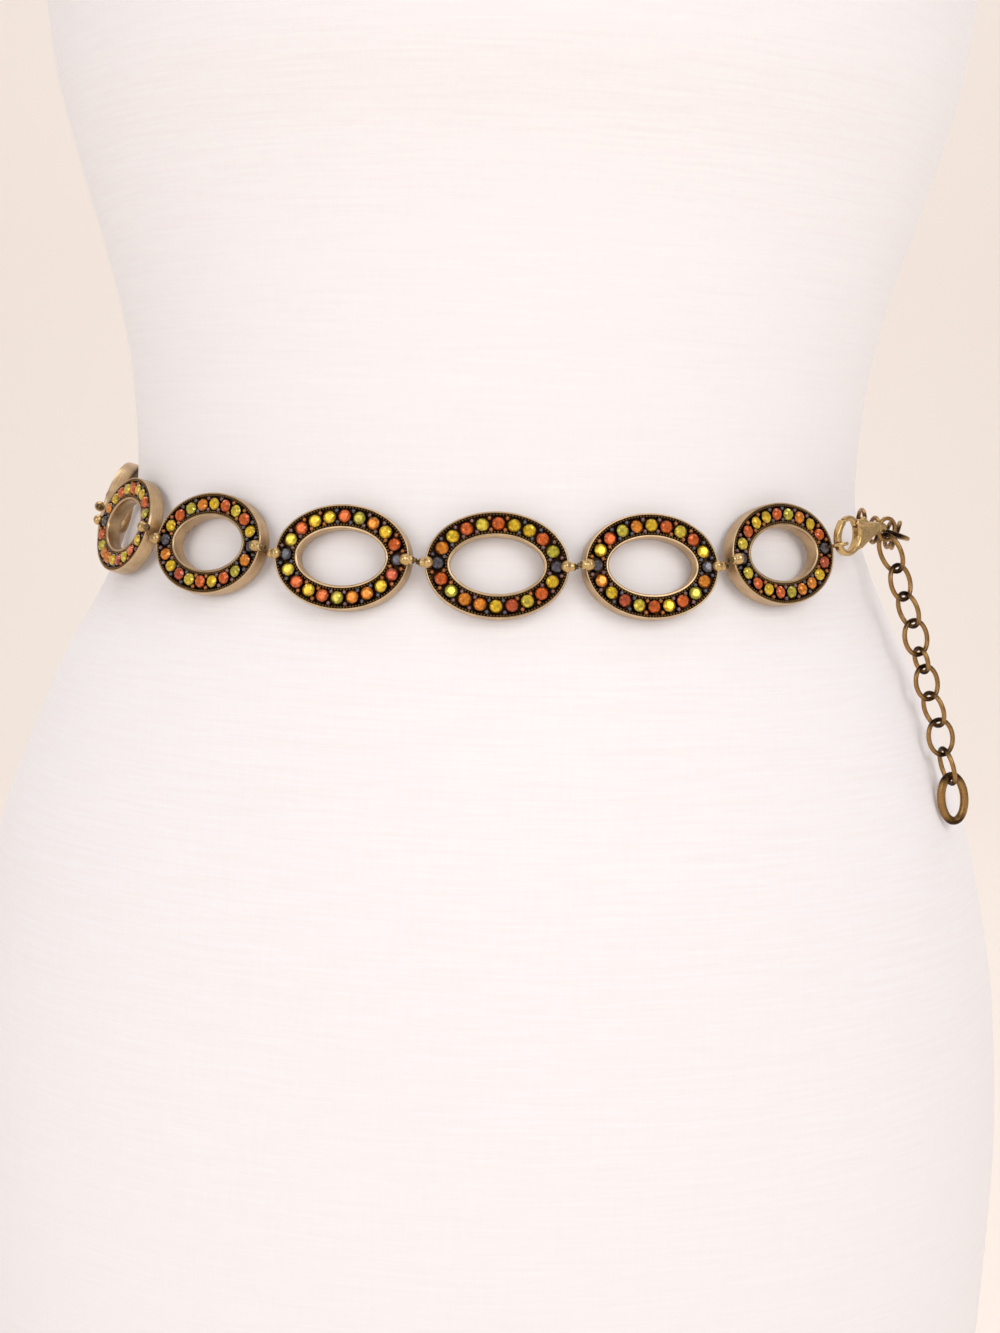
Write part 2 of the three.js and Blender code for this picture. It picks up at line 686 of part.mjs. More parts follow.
// Back chain: from the clasp's ring, along the form, out to the end loop of the first oval.
function backPath(turn) {
  const level = vec(Math.cos(turn), Math.sin(turn), 0);
  let height = BELT_SIDE_HEIGHT;
  let point = level.clone().multiplyScalar(WAIST_HALF_WIDTH);
  for (let pass = 0; pass < 4; pass += 1) {
    const { half, deep, back } = formSection(height);
    const rise = unit(1 - (backEnd.y - point.y) / BACK_CHAIN_RISE_RUN);
    const fall = unit(1 - (point.y - backStart.point.y) / BACK_CHAIN_FALL_RUN);
    const off = BACK_CHAIN_OFF_FORM + (backEndOff - BACK_CHAIN_OFF_FORM) * rise
      + (backStartOff - BACK_CHAIN_OFF_FORM) * fall;
    point = vec((half + off) * level.x, back + (deep + off) * level.y, 0);
    const free = beltHeight(point.y) - BACK_CHAIN_DROP;
    height = free + (backEnd.z - free) * rise + (backStart.point.z - free) * fall;
  }
  return point.setZ(height);
}

function backHooks(start, end, pitch) {
  const hooks = [start];
  let turn = Math.atan2(start.y / WAIST_HALF_DEPTH, start.x / WAIST_HALF_WIDTH) - PATH_LEAD;
  while (hooks[hooks.length - 1].distanceTo(end) > pitch + END_LOOP_RADIUS && hooks.length < 20) {
    const from = hooks[hooks.length - 1];
    const reach = hooks.length === 1 ? CHAIN_PITCH : pitch;
    while (backPath(turn).distanceTo(from) < reach || backPath(turn).y < from.y) {
      turn += PATH_STEP;
    }
    hooks.push(backPath(turn));
  }
  return hooks;
}

// The last link's end stands this far short of the middle of the oval's end loop.
const endShort = END_LOOP_RADIUS - CHAIN_WIRE - END_LOOP_WIRE - CHAIN_GAP;
let hooks = [];
let backPitch = 0;
let least = Infinity;
for (let pitch = CHAIN_PITCH - PITCH_PLAY; pitch < CHAIN_PITCH + PITCH_PLAY; pitch += PITCH_STEP) {
  const tried = backHooks(backStart.point, backEnd, pitch);
  const miss = Math.abs(tried[tried.length - 1].distanceTo(backEnd) - endShort - pitch);
  if (miss < least) {
    least = miss;
    hooks = tried;
    backPitch = pitch;
  }
}

// The first back link stands about square to the ring's wire and the last one upright; the
// links between them turn by even steps of about a quarter.
const backCount = hooks.length;
const backRuns = hooks.map((point, k) => {
  const target = k === backCount - 1 ? backEnd : hooks[k + 1];
  return target.clone().sub(point).normalize();
});
const upright = (run) => squareTo(vec(0, 0, 1), run);
const firstWide = squareTo(backStart.wireWay, backRuns[0]).cross(backRuns[0]);
const firstUp = upright(backRuns[0]);
const firstTurn = Math.atan2(
  firstWide.dot(backRuns[0].clone().cross(firstUp)), firstWide.dot(firstUp));
const quarter = Math.PI / 2;
const leftOver = -(firstTurn + (backCount - 1) * quarter);
const wrapped = leftOver - Math.PI * Math.round(leftOver / Math.PI);
const turnStep = quarter + wrapped / (backCount - 1);
backRuns.forEach((run, k) => {
  const turn = firstTurn + k * turnStep;
  const up = upright(run);
  const wide = up.clone().multiplyScalar(Math.cos(turn))
    .addScaledVector(run.clone().cross(up), Math.sin(turn));
  const isFirst = k === 0;
  const row = {
    pitch: isFirst ? CHAIN_PITCH : backPitch,
    half: CHAIN_HALF_WIDTH,
    wire: CHAIN_WIRE,
  };
  addPiece(`back_link_${k + 1}`, chainLink(
    hooks[k], run, wide, row, isFirst ? SPLIT_RING_WIRE : CHAIN_WIRE), BRONZE);
});

export default belt;
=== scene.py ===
"""Rhinestone chain belt on a limbless dress form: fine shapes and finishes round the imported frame.

Everything is in metres in the frame's own axes: +Z up, the form faces -Y, +X is the viewer's right.
"""

import json
import logging
import math
from dataclasses import dataclass, field
from enum import Enum
from typing import Any, Sequence

import bpy
import numpy as np
from mathutils import Matrix, Quaternion, Vector
from mathutils.kdtree import KDTree

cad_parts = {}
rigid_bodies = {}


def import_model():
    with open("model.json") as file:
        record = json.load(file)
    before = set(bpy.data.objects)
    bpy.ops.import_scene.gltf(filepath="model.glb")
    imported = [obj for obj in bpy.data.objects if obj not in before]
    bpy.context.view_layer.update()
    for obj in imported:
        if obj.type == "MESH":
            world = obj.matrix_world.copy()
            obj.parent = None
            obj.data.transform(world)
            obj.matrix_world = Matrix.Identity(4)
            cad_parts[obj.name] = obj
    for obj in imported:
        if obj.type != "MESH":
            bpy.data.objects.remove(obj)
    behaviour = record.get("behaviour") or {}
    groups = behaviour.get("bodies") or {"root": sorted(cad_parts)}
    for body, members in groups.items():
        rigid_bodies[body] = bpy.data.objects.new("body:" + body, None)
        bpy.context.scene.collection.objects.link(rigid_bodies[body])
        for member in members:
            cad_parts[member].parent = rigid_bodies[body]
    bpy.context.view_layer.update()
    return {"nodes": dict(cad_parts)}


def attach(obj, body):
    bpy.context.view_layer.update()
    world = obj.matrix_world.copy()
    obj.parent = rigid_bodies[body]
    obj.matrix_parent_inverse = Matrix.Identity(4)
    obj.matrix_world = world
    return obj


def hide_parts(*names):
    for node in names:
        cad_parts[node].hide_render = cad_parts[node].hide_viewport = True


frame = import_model()

log = logging.getLogger("chain_belt")

MM = 0.001
OVALS = 14
TAIL_LINKS = 9
BACK_LINKS = 8
OVAL_HALF_LENGTH = 16.8 * MM
OVAL_HALF_HEIGHT = 11.7 * MM
WIRE_RADIUS = 0.75 * MM
LINK_HALF_WIDTH = 4.2 * MM

# Digits of a metre that tell two points of a frame node apart.
POINT_DIGITS = 7

# Sockets of a colour Mix node, which share their names with its number sockets.
MIX_A = 6
MIX_B = 7
MIX_RESULT = 2

# Sockets of a Map Range node: the range that goes in, then the one that comes out.
FROM_LOW = 1
FROM_HIGH = 2
TO_LOW = 3
TO_HIGH = 4


def linear(hex_colour: str) -> tuple[float, float, float, float]:
    """Turns an sRGB hex value into a linear colour.

    Args:
        hex_colour: Six hex digits, such as "C9A27A".

    Returns:
        Red, green, blue and an alpha of one.
    """
    channels = [int(hex_colour[i:i + 2], 16) / 255 for i in (0, 2, 4)]
    bent = [c / 12.92 if c <= 0.04045 else ((c + 0.055) / 1.055) ** 2.4 for c in channels]
    return (bent[0], bent[1], bent[2], 1.0)


def add_node(
    tree: bpy.types.NodeTree,
    kind: str,
    inputs: dict[str | int, Any] | None = None,
    **settings: Any,
) -> bpy.types.Node:
    """Adds a node to a tree.

    Args:
        tree: The tree that gets the node.
        kind: The node's type name.
        inputs: Socket name or number to a value, or to another node's output socket.
        settings: Properties of the node, set before its sockets are filled.

    Returns:
        The new node.
    """
    node = tree.nodes.new(kind)
    for key, value in settings.items():
        setattr(node, key, value)
    for key, value in (inputs or {}).items():
        if isinstance(value, bpy.types.NodeSocket):
            tree.links.new(value, node.inputs[key])
        else:
            node.inputs[key].default_value = value
    return node


class Brush(Enum):
    """The way in which a plated surface was worked."""

    ALONG = "brushed along the piece"
    TUMBLED = "tumbled all over"


@dataclass(frozen=True)
class Finish:
    """A named surface that can be put on a piece."""

    name: str

    def shader(self, tree: bpy.types.NodeTree) -> bpy.types.NodeSocket:
        """Builds the surface in a tree and returns its shader socket."""
        raise NotImplementedError

    def material(self) -> bpy.types.Material:
        """Makes the finish's material the first time, and finds it again after that.

        Returns:
            The one material of this finish.
        """
        found = bpy.data.materials.get(self.name)
        if found is not None:
            return found
        made = bpy.data.materials.new(self.name)
        made.use_nodes = True
        made.node_tree.nodes.clear()
        surface = self.shader(made.node_tree)
        add_node(made.node_tree, "ShaderNodeOutputMaterial", {"Surface": surface})
        return made

    @staticmethod
    def grain(
        tree: bpy.types.NodeTree,
        sizes_mm: Sequence[float],
        place: bpy.types.NodeSocket | None = None,
        **inputs: float,
    ) -> bpy.types.NodeSocket:
        """Draws noise whose patches have a real size along each axis.

        Args:
            tree: The material's tree.
            sizes_mm: Length of a patch along each of the three axes.
            place: Coordinates in metres; the piece's own place when left out.
            inputs: Other inputs of the noise, such as its Detail.

        Returns:
            The noise's value.
        """
        if place is None:
            place = add_node(tree, "ShaderNodeTexCoord").outputs["Object"]
        scale = tuple(1 / (size * MM) for size in sizes_mm)
        drawn = add_node(tree, "ShaderNodeVectorMath", {0: place, 1: scale}, operation="MULTIPLY")
        noise = add_node(
            tree, "ShaderNodeTexNoise", {"Vector": drawn.outputs[0], "Scale": 1.0, **inputs})
        return noise.outputs["Fac"]


@dataclass(frozen=True)
class AntiquedBrass(Finish):
    """Brass plate, antiqued in a dark bath and rubbed bright again on what stands proud.

    That gives the eye warm highlights on rims and beads, and a brown to black in the recesses; the patina
    attribute also carries painted shade in the clefts between beads and at the ends of links.
    """

    bright: str = "C9A27A"
    worn: str = "E6CBA2"
    dark: str = "2A1A10"
    roughness: float = 0.34
    smoother: float = 0.07
    rougher: float = 0.12
    brush: Brush = Brush.TUMBLED
    stroke_mm: float = 9.0
    scratch_mm: float = 0.22
    scratch_low: float = 0.3
    scratch_high: float = 0.7
    scratch_relief: float = 0.22
    scratch_depth_mm: float = 0.05
    blotch_mm: float = 4.0
    blotch_share: float = 0.5
    blotch_start: float = -0.12

    def shader(self, tree: bpy.types.NodeTree) -> bpy.types.NodeSocket:
        """Mixes bright, worn and dark brass by the patina attribute, which also carries painted shade, and
        by fine scratches.

        Args:
            tree: The material's tree.

        Returns:
            The shader socket.
        """
        patina = add_node(tree, "ShaderNodeAttribute", attribute_name="patina")
        along = None
        sizes = (2 * self.scratch_mm,) * 3
        if self.brush is Brush.ALONG:
            along = add_node(tree, "ShaderNodeUVMap", uv_map="run").outputs["UV"]
            sizes = (self.stroke_mm, self.scratch_mm, self.scratch_mm)
        scratches = self.grain(tree, sizes, along, Detail=3.0, Roughness=0.6)
        blotches = self.grain(tree, (self.blotch_mm,) * 3, Detail=2.0)
        tone = add_node(
            tree, "ShaderNodeMix",
            {"Factor": scratches, MIX_A: linear(self.bright), MIX_B: linear(self.worn)},
            data_type="RGBA")
        stain = add_node(
            tree, "ShaderNodeMath", {0: blotches, 1: self.blotch_share, 2: self.blotch_start},
            operation="MULTIPLY_ADD")
        cover = add_node(
            tree, "ShaderNodeMath", {0: patina.outputs["Fac"], 1: stain.outputs[0]},
            operation="ADD", use_clamp=True)
        colour = add_node(
            tree, "ShaderNodeMix",
            {"Factor": cover.outputs[0], MIX_A: tone.outputs[MIX_RESULT], MIX_B: linear(self.dark)},
            data_type="RGBA")
        rough = add_node(
            tree, "ShaderNodeMapRange",
            {"Value": scratches, FROM_LOW: self.scratch_low, FROM_HIGH: self.scratch_high,
             TO_LOW: self.roughness - self.smoother, TO_HIGH: self.roughness + self.rougher})
        bump = add_node(
            tree, "ShaderNodeBump",
            {"Height": scratches, "Strength": self.scratch_relief,
             "Distance": self.scratch_depth_mm * MM})
        surface = add_node(
            tree, "ShaderNodeBsdfPrincipled",
            {"Base Color": colour.outputs[MIX_RESULT], "Metallic": 1.0, "Roughness": rough.outputs[0],
             "Normal": bump.outputs[0]})
        return surface.outputs[0]


@dataclass(frozen=True)
class FoiledGlass(Finish):
    """Cut glass with a foil behind it: saturated colour, bright flashes and dark facets."""

    roughness: float = 0.1
    foil: float = 0.5
    polish: float = 0.5
    polish_roughness: float = 0.04
    glass_ior: float = 1.5
    cloud_mm: float = 1.0
    cloud_low: float = 0.32
    cloud_high: float = 0.68
    darkest: float = 0.62
    brightest: float = 1.3

    def shader(self, tree: bpy.types.NodeTree) -> bpy.types.NodeSocket:
        """Takes each stone's colour from its attribute and mirrors it as foil does.

        Args:
            tree: The material's tree.

        Returns:
            The shader socket.
        """
        tint = add_node(tree, "ShaderNodeAttribute", attribute_name="stone_colour")
        cloud = self.grain(tree, (self.cloud_mm,) * 3, Detail=2.0)
        value = add_node(
            tree, "ShaderNodeMapRange",
            {"Value": cloud, FROM_LOW: self.cloud_low, FROM_HIGH: self.cloud_high,
             TO_LOW: self.darkest, TO_HIGH: self.brightest})
        shade = add_node(
            tree, "ShaderNodeHueSaturation", {"Color": tint.outputs["Color"], "Value": value.outputs[0]})
        surface = add_node(
            tree, "ShaderNodeBsdfPrincipled",
            {"Base Color": shade.outputs[0], "Metallic": self.foil, "Roughness": self.roughness,
             "IOR": self.glass_ior, "Coat Weight": self.polish,
             "Coat Roughness": self.polish_roughness, "Coat IOR": self.glass_ior})
        return surface.outputs[0]


@dataclass(frozen=True)
class SlubJersey(Finish):
    """Cotton slub jersey, knitted: matt and pale, with thick and thin yarns lying across."""

    colour: str = "FDFBFC"
    shade: str = "F9F5F6"
    yarn_mm: float = 1.1
    slub_mm: float = 26.0
    wale_mm: float = 1.3
    wale_run_mm: float = 14.0
    wale_share: float = 0.35
    knit_low: float = 0.45
    knit_high: float = 0.95
    relief: float = 0.18
    relief_mm: float = 0.4

    def shader(self, tree: bpy.types.NodeTree) -> bpy.types.NodeSocket:
        """Draws level yarns, coarser than the real ones so that they show in a render.

        Args:
            tree: The material's tree.

        Returns:
            The shader socket.
        """
        slubs = self.grain(
            tree, (self.slub_mm, self.slub_mm, self.yarn_mm), Detail=3.0, Roughness=0.65)
        wales = self.grain(tree, (self.wale_mm, self.wale_mm, self.wale_run_mm), Detail=2.0)
        knit = add_node(
            tree, "ShaderNodeMath", {0: wales, 1: self.wale_share, 2: slubs}, operation="MULTIPLY_ADD")
        share = add_node(
            tree, "ShaderNodeMapRange",
            {"Value": knit.outputs[0], FROM_LOW: self.knit_low, FROM_HIGH: self.knit_high})
        colour = add_node(
            tree, "ShaderNodeMix",
            {"Factor": share.outputs[0], MIX_A: linear(self.shade), MIX_B: linear(self.colour)},
            data_type="RGBA")
        bump = add_node(
            tree, "ShaderNodeBump",
            {"Height": knit.outputs[0], "Strength": self.relief, "Distance": self.relief_mm * MM})
        surface = add_node(
            tree, "ShaderNodeBsdfPrincipled",
            {"Base Color": colour.outputs[MIX_RESULT], "Roughness": 0.9, "Specular IOR Level": 0.2,
             "Sheen Weight": 0.25, "Sheen Roughness": 0.5, "Normal": bump.outputs[0]})
        return surface.outputs[0]


@dataclass(frozen=True)
class OiledBeech(Finish):
    """Turned beech, oiled: a mid brown with short flecks and slow bands of grain."""

    light: str = "B98F66"
    deep: str = "8E6440"
    grain_mm: float = 2.2
    grain_run_mm: float = 30.8
    relief: float = 0.15
    relief_mm: float = 0.2

    def shader(self, tree: bpy.types.NodeTree) -> bpy.types.NodeSocket:
        """Draws the grain as stretched noise along X.

        Args:
            tree: The material's tree.

        Returns:
            The shader socket.
        """
        flecks = self.grain(
            tree, (self.grain_run_mm, self.grain_mm, self.grain_mm), Detail=5.0, Distortion=0.6)
        colour = add_node(
            tree, "ShaderNodeMix",
            {"Factor": flecks, MIX_A: linear(self.deep), MIX_B: linear(self.light)},
            data_type="RGBA")
        bump = add_node(
            tree, "ShaderNodeBump",
            {"Height": flecks, "Strength": self.relief, "Distance": self.relief_mm * MM})
        surface = add_node(
            tree, "ShaderNodeBsdfPrincipled",
            {"Base Color": colour.outputs[MIX_RESULT], "Roughness": 0.42, "Coat Weight": 0.2,
             "Coat Roughness": 0.25, "Normal": bump.outputs[0]})
        return surface.outputs[0]


@dataclass(frozen=True)
class StudioPaper(Finish):
    """Seamless studio paper: plain, pale and without gloss."""

    colour: str = "FBF3EC"

    def shader(self, tree: bpy.types.NodeTree) -> bpy.types.NodeSocket:
        """Returns a plain matt shader."""
        inputs = {"Base Color": linear(self.colour), "Roughness": 0.95, "Specular IOR Level": 0.1}
        return add_node(tree, "ShaderNodeBsdfPrincipled", inputs).outputs[0]


BAND_GOLD = AntiquedBrass(
    "brushed antique gold plate", bright="BE9A70", worn="F0D4AA", roughness=0.3,
    brush=Brush.ALONG)
BEAD_GOLD = AntiquedBrass(
    "rubbed antique gold plate", bright="BF9A5E", worn="F0D096", dark="24140A", roughness=0.26)
CHAIN_BRONZE = AntiquedBrass(
    "dark antique bronze plate", bright="8C6539", worn="C29A60", dark="1F0F07", roughness=0.28)
STONE_GLASS = FoiledGlass("foil-backed cut glass")
JERSEY = SlubJersey("white cotton slub jersey")
BEECH = OiledBeech("oiled beech")
PAPER = StudioPaper("seamless studio paper")


def new_object(name: str, mesh: bpy.types.Mesh) -> bpy.types.Object:
    """Links a mesh to the scene at the origin.

    Args:
        name: The object's name.
        mesh: The object's mesh.

    Returns:
        The new object.
    """
    made = bpy.data.objects.new(name, mesh)
    bpy.context.scene.collection.objects.link(made)
    return made


def dressed(name: str, mesh: bpy.types.Mesh, finish: Finish) -> bpy.types.Object:
    """Gives a mesh its finish and links it to the scene."""
    mesh.materials.append(finish.material())
    return new_object(name, mesh)


def mesh_from(
    name: str,
    points: np.ndarray | Sequence[Sequence[float]],
    faces: Sequence[Sequence[int]],
    smooth: bool = True,
) -> bpy.types.Mesh:
    """Makes a mesh from points and faces.

    Args:
        name: The mesh's name.
        points: A row for each point, in metres.
        faces: A row of point numbers for each face.
        smooth: Whether the faces are shaded smooth.

    Returns:
        The mesh, not yet in the scene.
    """
    mesh = bpy.data.meshes.new(name)
    mesh.from_pydata([tuple(map(float, p)) for p in points], [], [tuple(f) for f in faces])
    mesh.update()
    if smooth:
        mesh.shade_smooth()
    return mesh


def set_off(piece: bpy.types.Object, body: str, nodes: Sequence[str]) -> None:
    """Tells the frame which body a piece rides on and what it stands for.

    Args:
        piece: The finished object at the origin.
        body: The body's name.
        nodes: The frame's nodes that it replaces; may be empty.
    """
    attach(piece, body)
    if nodes:
        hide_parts(*nodes)
    log.info("%s: %d faces on %s, for %d nodes", piece.name, len(piece.data.polygons), body, len(nodes))


def read_points(mesh: bpy.types.Mesh, what: str = "co") -> np.ndarray:
    """Reads a vector of each point of a mesh.

    Args:
        mesh: The mesh.
        what: The vector's name: "co" for the place or "normal".

    Returns:
        A row of three numbers for each point.
    """
    values = np.empty(len(mesh.vertices) * 3)
    mesh.vertices.foreach_get(what, values)
    return values.reshape(-1, 3)


def move_points(mesh: bpy.types.Mesh, points: np.ndarray) -> None:
    """Puts the points of a mesh at new places."""
    mesh.vertices.foreach_set("co", points.ravel())
    mesh.update()


def node_points(node: str) -> np.ndarray:
    """Returns the different points of a frame node, in metres."""
    return np.unique(read_points(frame["nodes"][node].data).round(POINT_DIGITS), axis=0)


@dataclass
class Place:
    """Where a piece sits: its middle and three square axes, the long one first."""

    centre: Vector
    run: Vector
    up: Vector
    out: Vector

    @classmethod
    def of_node(cls, node: str) -> "Place":
        """Works out a node's place from the spread of its points.

        Args:
            node: The frame node's name.

        Returns:
            A place whose last axis points away from the form's middle line.
        """
        points = node_points(node)
        middle = points.mean(axis=0)
        _, axes = np.linalg.eigh(np.cov((points - middle).T))
        run, up = Vector(axes[:, 2]), Vector(axes[:, 1])
        away = Vector((middle[0], middle[1], 0))
        if up.z < 0:
            up.negate()
        out = run.cross(up)
        if out.dot(away) < 0:
            run.negate()
            out.negate()
        return cls(Vector(middle), run, up, out)

    def axes(self) -> np.ndarray:
        """Returns the three axes as rows."""
        return np.array([self.run, self.up, self.out])

    def local(self, points: np.ndarray) -> np.ndarray:
        """Takes points in the frame's axes, one row each, to these axes."""
        return (points - np.array(self.centre)) @ self.axes().T

    def world(self, points: np.ndarray) -> np.ndarray:
        """Takes points in these axes, one row each, to the frame's axes."""
        return points @ self.axes() + np.array(self.centre)

    def spread(self, node: str) -> list[tuple[float, float]]:
        """Returns a node's low and high limits along run, up and out, from the centre."""
        inside = self.local(node_points(node))
        return list(zip(inside.min(axis=0), inside.max(axis=0)))

    def turn(self) -> Quaternion:
        """Returns the turn from the frame's axes to these."""
        return Matrix((self.run, self.up, self.out)).transposed().to_quaternion()


class Recipe:
    """A geometry-nodes tree with named inputs, run to give a plain mesh."""

    def __init__(self, name: str, inputs: dict[str, tuple[str, Any]]) -> None:
        """Makes an empty tree.

        Args:
            name: The tree's name.
            inputs: Input name to its socket type and default value.
        """
        self.tree = bpy.data.node_groups.new(name, "GeometryNodeTree")
        self.ids: dict[str, str] = {}
        interface = self.tree.interface
        interface.new_socket("Geometry", in_out="INPUT", socket_type="NodeSocketGeometry")
        for label, (kind, default) in inputs.items():
            socket = interface.new_socket(label, in_out="INPUT", socket_type=kind)
            if default is not None:
                socket.default_value = default
            self.ids[label] = socket.identifier
        interface.new_socket("Geometry", in_out="OUTPUT", socket_type="NodeSocketGeometry")
        self.entry = self.tree.nodes.new("NodeGroupInput")

    def input(self, label: str) -> bpy.types.NodeSocket:
        """Returns the socket that carries a named input."""
        return self.entry.outputs[label]

    def node(self, kind: str, inputs: dict[str | int, Any] | None = None, **settings: Any) -> bpy.types.Node:
        """Adds a node to this recipe's tree."""
        return add_node(self.tree, kind, inputs, **settings)

    def on_places(self, piece: bpy.types.NodeSocket) -> bpy.types.NodeSocket:
        """Sets a piece on each point of the base, turned as the point's attribute says.

        Args:
            piece: The piece's geometry.

        Returns:
            The pieces, still as instances.
        """
        turns = self.node("GeometryNodeInputNamedAttribute", {"Name": "turn"}, data_type="QUATERNION")
        placed = self.node("GeometryNodeInstanceOnPoints", {
            "Points": self.input("Geometry"), "Instance": piece, "Rotation": turns.outputs[0]})
        return placed.outputs[0]

    def finish(self, geometry: bpy.types.NodeSocket) -> None:
        """Ends the tree: instances made real, the material set, and the result given out.

        Args:
            geometry: What the tree has made.
        """
        real = self.node("GeometryNodeRealizeInstances", {"Geometry": geometry})
        covered = self.node(
            "GeometryNodeSetMaterial", {"Geometry": real.outputs[0], "Material": self.input("Material")})
        self.node("NodeGroupOutput", {0: covered.outputs[0]})

    def run(self, name: str, base: bpy.types.Mesh, **values: Any) -> bpy.types.Object:
        """Runs the tree on a base mesh.

        Args:
            name: Name of the object that comes out.
            base: The mesh that enters the tree.
            values: Input label, with _ for a space, to its value.

        Returns:
            A plain mesh object at the origin, without a modifier.
        """
        holder = new_object(f"{name}_base", base)
        modifier = holder.modifiers.new("recipe", "NODES")
        modifier.node_group = self.tree
        for label, value in values.items():
            modifier[self.ids[label.replace("_", " ")]] = value
        holder.update_tag()
        graph = bpy.context.evaluated_depsgraph_get()
        mesh = bpy.data.meshes.new_from_object(
            holder.evaluated_get(graph), preserve_all_data_layers=True, depsgraph=graph)
        mesh.name = name
        holder.modifiers.remove(modifier)
        bpy.data.objects.remove(holder)
        return new_object(name, mesh)


def oval_path(recipe: Recipe) -> bpy.types.NodeSocket:
    """Draws the oval along which pieces stand, moved outward and raised as the inputs say.

    Args:
        recipe: The recipe whose tree gets the nodes.

    Returns:
        The path's curve.
    """
    long, high = recipe.input("Half length"), recipe.input("Half height")
    circle = recipe.node("GeometryNodeCurvePrimitiveCircle", {"Resolution": 160, "Radius": 1.0})
    size = recipe.node("ShaderNodeCombineXYZ", {0: long, 1: high, 2: 1.0})
    oval = recipe.node("GeometryNodeTransform", {0: circle.outputs[0], "Scale": size.outputs[0]})
    place = recipe.node("GeometryNodeInputPosition")
    across = recipe.node("ShaderNodeCombineXYZ", {
        0: recipe.node("ShaderNodeMath", {0: long, 1: -2.0}, operation="POWER").outputs[0],
        1: recipe.node("ShaderNodeMath", {0: high, 1: -2.0}, operation="POWER").outputs[0]})
    slope = recipe.node(
        "ShaderNodeVectorMath", {0: place.outputs[0], 1: across.outputs[0]}, operation="MULTIPLY")
    outward = recipe.node("ShaderNodeVectorMath", {0: slope.outputs[0]}, operation="NORMALIZE")
    moved = recipe.node(
        "ShaderNodeVectorMath", {0: outward.outputs[0], "Scale": recipe.input("Outward")},
        operation="SCALE")
    raised = recipe.node("ShaderNodeCombineXYZ", {2: recipe.input("Height")})
    offset = recipe.node("ShaderNodeVectorMath", {0: moved.outputs[0], 1: raised.outputs[0]})
    path = recipe.node("GeometryNodeSetPosition", {0: oval.outputs[0], "Offset": offset.outputs[0]})
    return path.outputs[0]


def ring_recipe() -> Recipe:
    """Builds the tree that sets one small piece many times round each of several ovals.

    Returns:
        A recipe whose base mesh has one point for each oval, with its turn as an attribute.
    """
    recipe = Recipe("pieces round ovals", {
        "Half length": ("NodeSocketFloat", OVAL_HALF_LENGTH),
        "Half height": ("NodeSocketFloat", OVAL_HALF_HEIGHT),
        "Outward": ("NodeSocketFloat", 0.0),
        "Height": ("NodeSocketFloat", 0.0),
        "Count": ("NodeSocketInt", 20),
        "Every": ("NodeSocketInt", 1),
        "First": ("NodeSocketInt", 0),
        "Piece": ("NodeSocketObject", None),
        "Size": ("NodeSocketFloat", 1.0),
        "End size": ("NodeSocketFloat", 1.0),
        "Least turn": ("NodeSocketVector", (0.0, 0.0, 0.0)),
        "Most turn": ("NodeSocketVector", (0.0, 0.0, 0.0)),
        "Seed": ("NodeSocketInt", 7),
        "Material": ("NodeSocketMaterial", None),
    })
    even = recipe.node(
        "GeometryNodeResampleCurve", {"Curve": oval_path(recipe), "Count": recipe.input("Count")})
    index = recipe.node("GeometryNodeInputIndex").outputs[0]
    step = recipe.node("ShaderNodeMath", {0: index, 1: recipe.input("Every")}, operation="MODULO")
    wanted = recipe.node(
        "FunctionNodeCompare", {0: step.outputs[0], 1: recipe.input("First")},
        data_type="FLOAT", operation="EQUAL")
    half_round = recipe.node("ShaderNodeMath", {0: recipe.input("Count"), 1: 2.0}, operation="DIVIDE")
    half_step = recipe.node("ShaderNodeMath", {0: index, 1: half_round.outputs[0]}, operation="MODULO")
    is_end = recipe.node(
        "FunctionNodeCompare", {0: half_step.outputs[0], 1: 0.0}, data_type="FLOAT", operation="EQUAL")
    scale = recipe.node(
        "GeometryNodeSwitch",
        {0: is_end.outputs[0], 1: recipe.input("Size"), 2: recipe.input("End size")},
        input_type="FLOAT")
    play = recipe.node(
        "FunctionNodeRandomValue",
        {0: recipe.input("Least turn"), 1: recipe.input("Most turn"), "Seed": recipe.input("Seed")},
        data_type="FLOAT_VECTOR")
    turned = recipe.node("FunctionNodeEulerToRotation", {0: play.outputs[0]})
    piece = recipe.node(
        "GeometryNodeObjectInfo", {"Object": recipe.input("Piece"), "As Instance": True})
    ring = recipe.node("GeometryNodeInstanceOnPoints", {
        "Points": even.outputs[0], "Selection": wanted.outputs[0],
        "Instance": piece.outputs["Geometry"], "Rotation": turned.outputs[0],
        "Scale": scale.outputs[0]})
    numbered = recipe.node(
        "GeometryNodeStoreNamedAttribute",
        {"Geometry": ring.outputs[0], "Name": "stone_no", "Value": index},
        data_type="INT", domain="INSTANCE")
    oval_no = recipe.node(
        "GeometryNodeStoreNamedAttribute",
        {"Geometry": recipe.on_places(numbered.outputs[0]), "Name": "oval_no",
         "Value": recipe.node("GeometryNodeInputIndex").outputs[0]},
        data_type="INT", domain="INSTANCE")
    recipe.finish(oval_no.outputs[0])
    return recipe


def place_recipe() -> Recipe:
    """Builds the tree that sets one piece on each point of the base.

    Returns:
        A recipe whose base mesh has one point for each piece, with its turn as an attribute.
    """
    recipe = Recipe("piece on each place", {
        "Piece": ("NodeSocketObject", None),
        "Material": ("NodeSocketMaterial", None),
    })
    piece = recipe.node(
        "GeometryNodeObjectInfo", {"Object": recipe.input("Piece"), "As Instance": True})
    recipe.finish(recipe.on_places(piece.outputs["Geometry"]))
    return recipe


